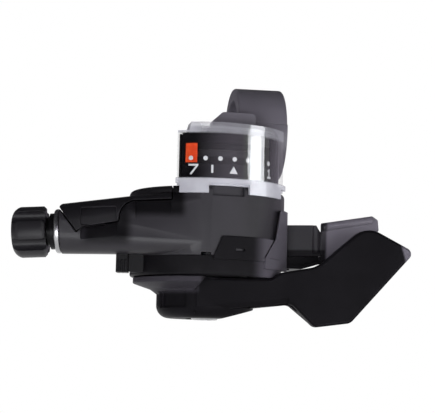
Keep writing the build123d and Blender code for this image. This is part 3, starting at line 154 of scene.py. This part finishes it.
plasticLooks = {
    "housing_plastic": {"grey": (0.018, 0.024), "rough": (0.34, 0.44), "gloss": 0.36, "worn": 0.4},
    "clamp_plastic": {"grey": (0.115, 0.135), "rough": (0.38, 0.48), "gloss": 0.5, "worn": 0.3},
    "lever_plastic": {
        "grey": (0.0066, 0.0088), "rough": (0.36, 0.48), "gloss": 0.03, "worn": 0.9,
        "rub": 6.0,  # how much paler an edge is: rubbed wear, and on this lever a painted highlight along the paddle's edges
        "edge": 0.0006,
    },
    "release_plastic": {"grey": (0.020, 0.026), "rough": (0.32, 0.42), "gloss": 0.3, "worn": 0.3},
    "black_plastic": {"grey": (0.003, 0.005), "rough": (0.30, 0.42), "gloss": 0.15, "worn": 0.2},
    "knob_plastic": {"grey": (0.011, 0.014), "rough": (0.34, 0.44), "gloss": 0.32, "worn": 0.4},
    "spool_plastic": {"grey": (0.50, 0.58), "rough": (0.35, 0.45), "gloss": 0.4, "worn": 0.0},
    "washer_plastic": {"grey": (0.62, 0.70), "rough": (0.35, 0.45), "gloss": 0.4, "worn": 0.0},
}
paintedShadeLooks = {  # pieces painted darker and duller than the rest of their slot: painted shade where their faces turn upwards
    "cable_cover": {"grey": (0.0075, 0.010), "rough": (0.38, 0.48), "gloss": 0.18, "worn": 0.8, "rub": 5.0},
    "base_plate": {"grey": (0.006, 0.009), "rough": (0.38, 0.48), "gloss": 0.06, "worn": 0.5},
}
grain = {
    "broad": 70.0,  # noise scales, in lumps to the metre
    "fine": 2600.0,
    "coarse": 900.0,
    "fineShare": 0.6,
    "depth": 0.00003,
    "strength": 0.35,
    "edge": 0.0004,  # radius to which edges are rounded
    "samples": 6,
    "bend": (0.02, 0.22),  # how far the rounding turns the surface where the paler edge, wear and painted highlight, starts and is full
    "patchy": (0.35, 0.7),
    "polish": 0.1,
    "rub": 1.9,
    "matt": 0.2,  # share of the gloss that a dull zone of painted shade keeps
    "index": 1.5,
}
paintedLightAndShadeZones = {  # places painted lighter or darker on a finish, as painted light and shade, their bounds in millimetres
    "housing_plastic": (  # painted shade: two scoops below the cable cover, darker and duller
        {"x": (-58.0, -44.0), "y": (-99.0, -17.0), "z": (-40.0, 0.0), "soft": 1.8, "grey": 0.005, "dull": True},
        {"x": (-44.0, -27.5), "y": (-99.0, -17.0), "z": (-31.0, 0.0), "soft": 1.4, "grey": 0.005, "dull": True},
    ),
    "lever_plastic": (
        {"x": (-60.0, -21.5), "z": (-54.0, -49.0), "soft": 0.8, "grey": 0.042, "dull": False},  # painted light: the flare of the hub paler, where it faces down towards the floor
        {"x": (-60.0, -24.0), "z": (-90.0, -60.5), "soft": 2.0, "grey": 0.016, "dull": False},  # painted light: the foot of the hub paler, where it faces down towards the floor
        {"slant": (35.5, 99.0), "soft": 0.5, "grey": 0.150, "dull": False},  # painted highlight: the paddle's right corner paler, as if lit from the right
    ),
    "release_plastic": (
        {"x": (21.0, 99.0), "soft": 0.5, "grey": 0.150, "dull": False},  # painted light: the blade paler than its arm, where it faces the light from the right
        {"x": (0.0, 20.5), "z": (-60.0, -39.0), "soft": 0.4, "grey": 0.010, "dull": True},  # painted shade: the web below the arm darker and duller, in the pocket under the arm
    ),
    "base_plate": (
        {"x": (-3.0, 99.0), "soft": 3.0, "grey": 0.100, "dull": False},  # painted light: the wing on the right paler, where it faces the light from the right
    ),
}
zoneWays = {
    "x": (1.0, 0.0, 0.0),
    "y": (0.0, 1.0, 0.0),
    "z": (0.0, 0.0, 1.0),
    "slant": (0.948, -0.178, 0.261),  # towards the paddle's right corner, where the painted highlight lies
}


def softBox(place, zone):
    # share of a zone at a place: one inside its bounds, falling to nothing over its soft edge
    share = 1.0
    soft = zone["soft"]
    for key, way in zoneWays.items():
        if key in zone:
            low, high = zone[key]
            value = place.dot(way)
            enter = value.ramp((low - soft) * mm, (low + soft) * mm)
            leave = value.ramp((high - soft) * mm, (high + soft) * mm, 1.0, 0.0)
            share = share * enter * leave
    return share


def mouldedPlastic(name, look):
    # spark-eroded grain from two sizes of noise, broad mottling in colour and gloss, edges rubbed paler and smoother
    # (on the lever and the cover partly a painted highlight), and zones of painted light and shade
    material, place = startFinish(name)
    broad = noise(place, grain["broad"], 3.0)
    fine = noise(place, grain["fine"])
    coarse = noise(place, grain["coarse"])
    rounded = place.node("Bevel", {"samples": grain["samples"]}, {"Radius": look.get("edge", grain["edge"])})
    bend = 1 - rounded.dot(place.node("NewGeometry", out=1))
    # paler edges: rubbed wear, and where a look makes them much paler, a painted highlight
    worn = bend.ramp(*grain["bend"]) * broad.ramp(*grain["patchy"]) * look["worn"]
    normal = place.node("Bump", sockets={
        "Strength": grain["strength"],
        "Distance": grain["depth"],
        "Height": fine * grain["fineShare"] + coarse * (1.0 - grain["fineShare"]),
        "Normal": rounded,
    })
    dark, pale = look["grey"]
    base = broad.ramp(*middle).tint(shade(dark), shade(pale))
    # painted light and shade: each zone tints the colour, and the zones of painted shade also take a duller shader
    dull = []
    for zone in paintedLightAndShadeZones.get(name, ()):
        share = softBox(place, zone)
        base = share.tint(base, shade(zone["grey"]))
        if zone["dull"]:
            dull.append(share)
    values = {
        "Base Color": worn.tint(base, shade(pale * look.get("rub", grain["rub"]))),
        "Roughness": fine.ramp(*middle, *look["rough"]) - worn * grain["polish"],
        "Normal": normal,
        "IOR": grain["index"],
        "Specular IOR Level": look["gloss"],
    }
    surface = place.node("BsdfPrincipled", sockets=values)
    if dull:
        matt = place.node("BsdfPrincipled", sockets={**values, "Specular IOR Level": look["gloss"] * grain["matt"]})
        surface = place.node("MixShader", sockets={0: sum(dull), 1: surface, 2: matt})
    return sealFinish(material, surface)


metalLooks = {
    "steel": {"dark": (0.43, 0.43, 0.44, 1.0), "pale": (0.57, 0.57, 0.58, 1.0), "rough": (0.22, 0.36)},
    "spring_steel": {"dark": (0.32, 0.32, 0.34, 1.0), "pale": (0.46, 0.46, 0.48, 1.0), "rough": (0.25, 0.4)},
}
plating = {"cloud": 260.0, "marks": 4200.0, "depth": 0.00002, "strength": 0.25}


def platedMetal(name, look):
    # zinc plate: cloudy colour, fine turning marks in the gloss and a faint orange-peel bump
    material, place = startFinish(name)
    cloud = noise(place, plating["cloud"], 4.0)
    marks = noise(place, plating["marks"])
    bump = {"Strength": plating["strength"], "Distance": plating["depth"], "Height": marks}
    values = {
        "Base Color": cloud.ramp(*tightMiddle).tint(look["dark"], look["pale"]),
        "Roughness": marks.ramp(*middle, *look["rough"]),
        "Metallic": 1.0,
        "Normal": place.node("Bump", sockets=bump),
    }
    return sealFinish(material, place.node("BsdfPrincipled", sockets=values))


evenLooks = {
    "pointer_plastic": {
        "dark": (0.84, 0.060, 0.008, 1.0), "pale": (0.95, 0.095, 0.012, 1.0),
        "rough": (0.3, 0.42), "cloud": 500.0, "gloss": 0.25,
    },
    "scale.ink": {
        "dark": (0.74, 0.74, 0.76, 1.0), "pale": (0.86, 0.86, 0.88, 1.0),
        "rough": (0.3, 0.45), "cloud": 700.0, "gloss": 0.3,
    },
    "scale.film": {
        "dark": (0.0032, 0.0030, 0.0040, 1.0), "pale": (0.0050, 0.0047, 0.0062, 1.0),
        "rough": (0.16, 0.24), "cloud": 700.0, "gloss": 0.3,
    },
}


def evenFinish(name):
    # bright moulding or screen-printed layer: faint clouding in the colour and a slightly uneven gloss
    look = evenLooks[name]
    material, place = startFinish(name)
    cloud = noise(place, look["cloud"], 3.0)
    values = {
        "Base Color": cloud.ramp(*middle).tint(look["dark"], look["pale"]),
        "Roughness": cloud.ramp(*middle, *look["rough"]),
        "Specular IOR Level": look["gloss"],
    }
    return sealFinish(material, place.node("BsdfPrincipled", sockets=values))


windowLook = {
    "clear": (0.94, 0.94, 0.94, 1.0),
    "mirror": ((0.94, 0.94, 0.95, 1.0), (0.98, 0.98, 0.99, 1.0)),
    "straight": 0.04,  # share of gloss seen straight on
    "rough": (0.02, 0.06),
    "haze": 180.0,
    "band": (-0.0053, -0.0046),  # heights where the print stops and the frosted rim starts
    "foot": (-0.0196, -0.0191),
    "fade": (-0.031, -0.018),  # the rim's frosting thins out towards the right
    "thin": 0.3,
    "frost": {
        "dark": (0.52, 0.51, 0.56, 1.0), "pale": (0.60, 0.59, 0.64, 1.0),
        "rough": (0.28, 0.4), "cloud": 140.0, "share": 0.66,
    },
}


def clearPlastic(name, look):
    # clear moulding: see-through shader with a gloss that takes over at a glance; rim and feet frosted by the mould
    material, place = startFinish(name)
    height = place.axis(2)
    haze = noise(place, look["haze"], 3.0)
    through = place.node("BsdfTransparent", sockets={"Color": look["clear"]})
    gloss = place.node("BsdfPrincipled", sockets={
        "Base Color": haze.ramp(*middle).tint(*look["mirror"]),
        "Roughness": haze.ramp(*middle, *look["rough"]),
        "Metallic": 1.0,
    })
    aslant = place.node("LayerWeight", sockets={"Blend": 0.5}, out=1)
    glance = look["straight"] + (1.0 - look["straight"]) * aslant ** 5
    clear = place.node("MixShader", sockets={0: glance, 1: through, 2: gloss})
    frost = look["frost"]
    cloud = noise(place, frost["cloud"])
    milky = place.node("BsdfPrincipled", sockets={
        "Base Color": cloud.ramp(*tightMiddle).tint(frost["dark"], frost["pale"]),
        "Roughness": cloud.ramp(*middle, *frost["rough"]),
    })
    rim = height.ramp(*look["band"]) * place.axis(0).ramp(*look["fade"], 1.0, look["thin"])
    foot = height.ramp(*look["foot"], 1.0, 0.0)
    share = (rim + foot) * frost["share"]
    return sealFinish(material, place.node("MixShader", sockets={0: share, 1: clear, 2: milky}))


finishes = {slot: mouldedPlastic(slot, look) for slot, look in plasticLooks.items()}
finishes.update({slot: platedMetal(slot, look) for slot, look in metalLooks.items()})
finishes["pointer_plastic"] = evenFinish("pointer_plastic")
finishes["clear_window"] = clearPlastic("clear_window", windowLook)
finishOf = {node: finishes[slotOf[node]] for node in nodes}
finishOf.update({node: mouldedPlastic(node, look) for node, look in paintedShadeLooks.items()})
for node, thing in nodes.items():
    thing.data.materials.clear()
    thing.data.materials.append(finishOf[node])
print("finishes:", len(finishes) + len(paintedShadeLooks))

# mouldings with smooth faces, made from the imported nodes

softSkin = {"weld": 2e-6, "flat": math.radians(0.3), "crease": math.radians(28)}


def softCopy(node):
    # the node's triangles welded and level ones joined, so that round faces shade smoothly up to their creases
    work = bmesh.new()
    work.from_mesh(nodes[node].data)
    bmesh.ops.remove_doubles(work, verts=work.verts, dist=softSkin["weld"])
    bmesh.ops.dissolve_limit(work, angle_limit=softSkin["flat"], verts=work.verts, edges=work.edges)
    mesh = bpy.data.meshes.new(node + ".soft")
    work.to_mesh(mesh)
    work.free()
    if "custom_normal" in mesh.attributes:
        mesh.attributes.remove(mesh.attributes["custom_normal"])
    mesh.materials.clear()
    mesh.materials.append(finishOf[node])
    mesh.shade_smooth()
    mesh.set_sharp_from_angle(angle=softSkin["crease"])
    piece = bpy.data.objects.new(node + ".soft", mesh)
    scene.collection.objects.link(piece)
    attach(piece, nodes[node]["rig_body"])
    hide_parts(node)
    return piece


softPieces = {node: softCopy(node) for node in sorted(nodes)}
print("soft pieces:", len(softPieces))

# grids and slabs


def unitGrid(columns, rows):
    # two parameters u and v that each go from nothing to one
    return np.meshgrid(np.linspace(0.0, 1.0, columns), np.linspace(0.0, 1.0, rows))


def between(ends, share):
    return ends[0] + (ends[1] - ends[0]) * share


def gridFaces(rows, columns):
    # numbers of a grid's points and its four-sided faces
    tag = np.arange(rows * columns).reshape(rows, columns)
    return tag, np.stack([tag[:-1, :-1], tag[:-1, 1:], tag[1:, 1:], tag[1:, :-1]], axis=-1).reshape(-1, 4)


def closeSlab(front, back):
    # front and back grids of points, joined by a wall along their common border
    tag, quads = gridFaces(*front.shape[:2])
    rim = np.concatenate([tag[0, :-1], tag[:-1, -1], tag[-1, :0:-1], tag[:0:-1, 0]])
    ahead = np.roll(rim, -1)
    wall = np.stack([rim, rim + tag.size, ahead + tag.size, ahead], axis=-1)
    points = np.concatenate([front.reshape(-1, 3), back.reshape(-1, 3)])
    return points, np.concatenate([quads, quads[:, ::-1] + tag.size, wall])


def newPiece(name, points, faces, finish):
    mesh = bpy.data.meshes.new(name)
    mesh.from_pydata(points.tolist(), [], faces.tolist())
    mesh.update()
    mesh.materials.append(finish)
    piece = bpy.data.objects.new(name, mesh)
    scene.collection.objects.link(piece)
    return piece


def joinPatches(name, patches, finish, body="body"):
    # one mesh from several closed patches, their faces renumbered one after another
    starts = np.cumsum([0] + [len(points) for points, faces in patches[:-1]])
    points = np.concatenate([points for points, faces in patches])
    faces = np.concatenate([faces + start for (_, faces), start in zip(patches, starts)])
    piece = newPiece(name, points, faces, finish)
    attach(piece, body)
    return piece


# printed scale behind the window

axle = np.array([-0.017, -0.009])
scaleFilm = {
    "radius": 23.54,  # just behind the ink on the window's inner face
    "thick": 0.05,
    "sweep": (-28.6, 61.5),
    "height": (-19.0, -5.0),
    "lean": 7.0,  # degrees by which the right end draws in towards the foot
    "slot": {"sweep": (-27.2, 47.0), "height": (-14.6, -7.9)},
}
scaleInk = {
    "radius": 23.58,
    "thick": 0.03,
    "pitch": 11.2,  # a little over the click, because the print stands further out than the pointer
    "first": -21.6,
    "dots": 7,
    "dotHeight": -12.95,
    "dotSize": 0.72,
    "bar": {"at": -5.2, "height": (-17.5, -15.0), "width": 0.65, "tip": 1.0},
    "triangle": {"at": 11.3, "height": (-17.5, -15.2), "width": 2.7, "tip": 0.03},
    "seven": {
        "at": -19.6, "height": (-18.0, -14.8), "width": 3.1, "stroke": 0.55,
        "neck": (0.86, 0.6),  # start of the leg: share of the half width, and strokes below the top
        "foot": 0.55,
    },
    "one": {
        "at": 46.6, "height": (-17.7, -14.75), "width": 1.9, "stroke": 0.6,
        "flag": (0.8, 1.2),  # start of the flag, as in the neck above
    },
}
printGrid = {"sheet": (41, 5), "disc": (9, 9), "wedge": (3, 7), "strokeAlong": 8, "strokeAcross": 3}


def bentPatch(bearing, height, look):
    # thin closed slab: each grid point (bearing, height) stands on the cylinder radius round the axle, once at the
    # front and once deeper by the thickness
    turn = np.radians(bearing)
    out = np.stack([np.sin(turn), -np.cos(turn)], axis=-1)
    flat = np.broadcast_to(axle, out.shape)
    level = height[..., None] * mm
    radii = (look["radius"], look["radius"] - look["thick"])
    return closeSlab(*(np.concatenate([flat + out * radius * mm, level], axis=-1) for radius in radii))


def sheet(sweep, height, lean=0.0):
    # level grid between two bearings and two heights; the right end draws in by lean towards the foot
    u, v = unitGrid(*printGrid["sheet"])
    return between((sweep[0], sweep[1] - lean * (1.0 - v)), u), between(height, v)


def filmPatches(look):
    # black film in four sheets round the pointer's slot
    (left, right), (low, high) = look["sweep"], look["height"]
    (slotLeft, slotRight), (slotLow, slotHigh) = look["slot"]["sweep"], look["slot"]["height"]
    lean = look["lean"] / (high - low)
    lowEnd = right - lean * (high - slotLow)
    highEnd = right - lean * (high - slotHigh)
    sheets = (
        sheet((left, lowEnd), (low, slotLow), lean * (slotLow - low)),
        sheet((left, right), (slotHigh, high), lean * (high - slotHigh)),
        sheet((left, slotLeft), (slotLow, slotHigh)),
        sheet((slotRight, highEnd), (slotLow, slotHigh), highEnd - lowEnd),
    )
    return [bentPatch(bearing, z, look) for bearing, z in sheets]


def onScale(at, across, z):
    # bearing of a point that lies some millimetres beside a mark's own bearing
    return at + np.degrees(across / scaleInk["radius"]), z


def disc(at, height, size):
    # square grid drawn out to a round: x = u sqrt(1 - v^2 / 2), y = v sqrt(1 - u^2 / 2), u and v from -1 to 1
    u, v = (2.0 * side - 1.0 for side in unitGrid(*printGrid["disc"]))
    x = u * np.sqrt(1.0 - v * v / 2.0)
    y = v * np.sqrt(1.0 - u * u / 2.0)
    return onScale(at, x * size, height + y * size)


def wedge(look):
    # upright mark whose width runs from its own at the foot to the tip's share of it at the head
    u, v = unitGrid(*printGrid["wedge"])
    return onScale(look["at"], (u - 0.5) * look["width"] * between((1.0, look["tip"]), v), between(look["height"], v))


def stroke(look, path):
    # ribbon of even width carried along a bent path, its sides meeting on the halving line of each bend; the runs are
    # cut short so that the ribbon follows the scale's curve
    corners = np.array(path)
    steps = np.linspace(0.0, len(corners) - 1.0, printGrid["strokeAlong"] * (len(corners) - 1) + 1)
    path = np.stack([np.interp(steps, np.arange(len(corners)), corners[:, k]) for k in (0, 1)], axis=-1)
    run = np.diff(path, axis=0)
    run = run / np.linalg.norm(run, axis=1, keepdims=True)
    before = np.concatenate([run[:1], run])
    after = np.concatenate([run, run[-1:]])
    half = before + after
    half = half / np.linalg.norm(half, axis=1, keepdims=True)
    aside = np.stack([half[:, 1], -half[:, 0]], axis=-1) / np.sum(half * after, axis=1, keepdims=True)
    side = np.linspace(0.5, -0.5, printGrid["strokeAcross"])[None, :, None]
    grid = path[:, None, :] + aside[:, None, :] * side * look["stroke"]
    return onScale(look["at"], grid[..., 0], grid[..., 1])


def drawSeven(look):
    # top bar and leg
    (low, high), half, thin = look["height"], look["width"] / 2, look["stroke"]
    level = high - thin / 2
    side, drop = look["neck"]
    bar = stroke(look, [(-half, level), (half, level)])
    leg = stroke(look, [(half * side, high - thin * drop), (-half * look["foot"], low)])
    return [bar, leg]


def drawOne(look):
    # flag and stem in one run, and a foot
    (low, high), half, thin = look["height"], look["width"] / 2, look["stroke"]
    level = low + thin / 2
    side, drop = look["flag"]
    stem = stroke(look, [(-half * side, high - thin * drop), (0.0, high - thin / 2), (0.0, low + thin)])
    foot = stroke(look, [(-half, level), (half, level)])
    return [stem, foot]


def inkPatches(look):
    # row of dots, a bar, a triangle and the end numbers of the scale
    dotsAt = look["first"] + look["pitch"] * np.arange(look["dots"])
    marks = [disc(at, look["dotHeight"], look["dotSize"]) for at in dotsAt]
    marks += [wedge(look["bar"]), wedge(look["triangle"])]
    marks += drawSeven(look["seven"]) + drawOne(look["one"])
    return [bentPatch(bearing, z, look) for bearing, z in marks]


film = joinPatches("scale.film", filmPatches(scaleFilm), evenFinish("scale.film"))
ink = joinPatches("scale.ink", inkPatches(scaleInk), evenFinish("scale.ink"))
print("scale:", len(film.data.polygons), "faces of film,", len(ink.data.polygons), "of ink")

# flange that stiffens the release lever's web

webFlange = {
    "x": (10.3, 21.3),
    "y": (-9.2, 2.6),
    "foot": (-45.15, -42.78),
    "bend": 13.5,  # x where the foot starts to rise
    "thick": (1.1, 3.9),
    "tip": 0.8,
    "grid": (25, 9),
}


def flangeSkin(look):
    # closed slab: u runs along the web, v back from it; the foot is level up to the bend and then rises with x, the
    # thickness grows with u^8 (1 - v)^2 to the blade, and the back corners are drawn in by tip v^4; the upper grid
    # lies the thickness above the lower one
    u, v = unitGrid(*look["grid"])
    x = between(look["x"], u) - look["tip"] * (2.0 * u - 1.0) * v ** 4
    y = between(look["y"], v)
    rise = np.clip((x - look["bend"]) / (look["x"][1] - look["bend"]), 0.0, 1.0)
    low = between(look["foot"], rise)
    thick = between(look["thick"], u ** 8 * (1.0 - v) ** 2)
    return closeSlab(*(np.stack([x, y, z], axis=-1) * mm for z in (low + thick, low)))


flangePatches = [flangeSkin(webFlange)]
flange = joinPatches("release.flange", flangePatches, finishes["release_plastic"], "release")
print("flange:", len(flange.data.polygons), "faces")

# skirt that closes the gap between the plug and the base

plugSkirt = {"x": (-43.4, -38.4), "y": (-21.2, -20.2), "z": (-48.4, -42.4), "arch": 0.4, "grid": (9, 5)}


def skirtSkin(look):
    # closed slab: u runs along x and v up; the lower edge is arched by arch (2 u - 1)^2, and the back grid lies behind
    # the front one by the thickness in y
    u, v = unitGrid(*look["grid"])
    x = between(look["x"], u)
    z = between(look["z"], v) + look["arch"] * (2.0 * u - 1.0) ** 2 * (1.0 - v)
    return closeSlab(*(np.stack([x, np.full_like(x, y), z], axis=-1) * mm for y in look["y"]))


skirt = joinPatches("plug.skirt", [skirtSkin(plugSkirt)], finishes["black_plastic"])
print("skirt:", len(skirt.data.polygons), "faces")

# stage, light and camera

stageLook = {
    "floor": -0.118,
    "size": 6.0,
    "pale": (0.86, 0.865, 0.87),
    "mottle": 0.97,
    "cloud": 3.0,
    "near": 0.12,  # distances between which the floor turns plain white
    "far": 0.6,
    "plain": 0.72,  # share of plain white close to the object
}
white = (1.0, 1.0, 1.0, 1.0)


def seen(wire):
    # one for what the eye sees straight, in a gloss or through glass, nothing for the light that falls on the object
    eye, gloss, glass = (wire.node("LightPath", out=k) for k in (0, 3, 6))
    return (eye + gloss + glass).ramp(0.0, 0.5)


def paleFloor(look):
    # level square; it keeps the shadow near the object and turns plain white towards the distance
    u, v = (look["size"] * (2.0 * side - 1.0) for side in unitGrid(2, 2))
    points = np.stack([u, v, np.full_like(u, look["floor"])], axis=-1).reshape(-1, 3)
    material, place = startFinish("floor")
    away = place.node("VectorMath", {"operation": "LENGTH"}, {0: place}, out=1)
    dim = tuple(look["mottle"] * part for part in look["pale"])
    paper = noise(place, look["cloud"]).tint(look["pale"] + (1.0,), dim + (1.0,))
    matt = place.node("BsdfDiffuse", sockets={"Color": paper})
    plain = place.node("Emission", sockets={"Color": white, "Strength": 1.0})
    share = seen(place) * away.ramp(look["near"], look["far"], look["plain"], 1.0)
    sealFinish(material, place.node("MixShader", sockets={0: share, 1: matt, 2: plain}))
    newPiece("floor", points, gridFaces(2, 2)[1], material)


paleFloor(stageLook)

skyLook = {"level": 0.50, "top": (0.05, 0.05, 0.055, 1.0), "rise": (0.26, 0.6)}


def studioSky(look):
    # white all round at eye level, greyer overhead; dimmer for the light it gives than for what is seen of it
    world = bpy.data.worlds.new("studio")
    scene.world = world
    world.use_nodes = True
    world.node_tree.nodes.clear()
    place = Wire(world.node_tree).node("TexCoord")
    colour = place.axis(2).ramp(*look["rise"]).tint(white, look["top"])
    strength = seen(place).ramp(0.0, 1.0, look["level"], 1.0)
    surface = place.node("Background", sockets={"Color": colour, "Strength": strength})
    surface.node("OutputWorld", sockets={"Surface": surface})


studioSky(skyLook)

cardLook = {
    "z": (-0.25, 0.55),
    "bow": 0.05,
    "rise": (0.0, 1.0),  # shares of the length between which the first grey turns to the second
    "fade": (0.02, 0.30),  # heights between which the light dies away
    "top": 0.06,
    "grid": (17, 3),
}
cards = {
    "frontCard": {
        "left": (-1.35, -0.63), "right": (0.72, -0.70), "grey": (0.02, 0.95),
        "bow": 0.12, "rise": (0.42, 0.88),
    },
    "sideCard": {"left": (0.80, 0.02), "right": (0.45, 0.95), "grey": (0.55, 0.45)},
    "backCard": {"left": (0.45, 0.95), "right": (-0.45, 0.95), "grey": (0.30, 0.15)},
    "leftCard": {"left": (-0.45, 0.95), "right": (-1.05, -0.30), "grey": (0.12, 0.12)},
}
cardHides = ("camera", "diffuse", "transmission", "volume_scatter", "shadow")


def studioCard(name, look):
    # upright card from left to right, bowed outwards by bow (1 - u^2) with u from -1 to 1; only glossy surfaces see
    # it, and it gives no shade
    share, v = unitGrid(*look["grid"])
    u = 2.0 * share - 1.0
    left, right = (np.array(look[end]) for end in ("left", "right"))
    run = (right - left) / np.linalg.norm(right - left)
    outward = np.array([run[1], -run[0]]) * look["bow"]
    flat = between((left, right), share[..., None]) + outward * (1.0 - u * u)[..., None]
    points = np.concatenate([flat, between(look["z"], v)[..., None]], axis=-1).reshape(-1, 3)
    material, place = startFinish(name)
    start, end = (float(between((left @ run, right @ run), part)) for part in look["rise"])
    dark, pale = (shade(grey) for grey in look["grey"])
    dim = tuple(look["top"] * part for part in pale[:3]) + (1.0,)
    colour = place.dot((run[0], run[1], 0.0)).ramp(start, end).tint(dark, pale)
    colour = place.axis(2).ramp(*look["fade"]).tint(colour, dim)
    sealFinish(material, place.node("Emission", sockets={"Color": colour, "Strength": 1.0}))
    card = newPiece(name, points, gridFaces(*u.shape)[1][:, ::-1], material)
    for kind in cardHides:
        setattr(card, "visible_" + kind, False)


for name, look in cards.items():
    studioCard(name, {**cardLook, **look})

lampLooks = {
    "windowBox": {"from": (0.551, -0.235, 0.068), "size": (0.285, 0.08), "power": 1.05, "only": "indicator_window"},
    "floorBox": {"from": (0.02, -0.20, -0.112), "aim": (0.0, -0.10, 0.20), "size": (0.6, 0.26), "power": 1.8},
    "lowBox": {"from": (0.10, -0.62, -0.075), "size": (0.9, 0.08), "power": 0.4},
    "lowLeft": {"from": (-0.32, -0.38, -0.085), "size": (0.3, 0.06), "power": 0.45, "matt": True},
    "leftFill": {"from": (-0.55, -0.45, 0.10), "size": (0.6, 0.4), "power": 0.6, "matt": True},
    "rightFill": {"from": (0.62, 0.34, -0.02), "size": (0.5, 0.3), "power": 1.0, "matt": True},
    "backFill": {"from": (-0.10, 0.72, 0.06), "size": (0.9, 0.5), "power": 3.2, "matt": True},
    "backTop": {"from": (0.10, 0.45, 0.65), "size": (0.8, 0.6), "power": 1.6, "matt": True},
}
lampTint = (0.95, 0.97, 1.0)
lampAim = (-0.005, -0.005, -0.035)


def studioLamp(name, look):
    # soft box that points its -Z at the aim
    lamp = bpy.data.lights.new(name, "AREA")
    lamp.shape = "RECTANGLE"
    lamp.size, lamp.size_y = look["size"]
    lamp.energy = look["power"]
    lamp.color = lampTint
    holder = bpy.data.objects.new(name, lamp)
    holder.visible_camera = False
    holder.visible_glossy = not look.get("matt", False)  # a matt fill leaves no glare in the window
    if "only" in look:  # a strip flagged off from all but one piece, for the glare in the window
        flag = bpy.data.collections.new(name + ".flag")
        flag.objects.link(softPieces[look["only"]])
        holder.light_linking.receiver_collection = flag
    start, end = Vector(look["from"]), Vector(look.get("aim", lampAim))
    turn = (end - start).to_track_quat("-Z", "Y").to_matrix().to_4x4()
    holder.matrix_world = Matrix.Translation(start) @ turn
    scene.collection.objects.link(holder)


for name, look in lampLooks.items():
    studioLamp(name, look)

view = {
    "turn": -9.0,
    "rise": -6.0,
    "roll": 1.3,
    "away": 0.5,
    "focal": 1500.0,  # in pixels
    "frame": (435, 413),
    "origin": (255, 135),
    "sensor": 36.0,
    "near": 0.01,
}


def photoCamera(look):
    # pinhole at a bearing, height and roll; the part's origin falls on a given pixel of the frame
    turn, rise, roll = (math.radians(look[key]) for key in ("turn", "rise", "roll"))
    back = Vector((math.sin(turn) * math.cos(rise), -math.cos(turn) * math.cos(rise), math.sin(rise)))
    level = Vector((math.cos(turn), math.sin(turn), 0.0))
    above = back.cross(level)
    right = math.cos(roll) * level + math.sin(roll) * above
    up = -math.sin(roll) * level + math.cos(roll) * above
    width, height = look["frame"]
    perPixel = look["away"] / look["focal"]
    sideways = (look["origin"][0] - width / 2) * perPixel
    upwards = (height / 2 - look["origin"][1]) * perPixel
    place = back * look["away"] - right * sideways - up * upwards
    lens = bpy.data.cameras.new("photo")
    lens.sensor_fit = "HORIZONTAL"
    lens.sensor_width = look["sensor"]
    lens.lens = look["focal"] / width * look["sensor"]
    lens.clip_start = look["near"]
    holder = bpy.data.objects.new("photo", lens)
    holder.matrix_world = Matrix((
        (right.x, up.x, back.x, place.x),
        (right.y, up.y, back.y, place.y),
        (right.z, up.z, back.z, place.z),
        (0.0, 0.0, 0.0, 1.0),
    ))
    scene.collection.objects.link(holder)
    scene.camera = holder


photoCamera(view)
print("stage, lamps and camera set")
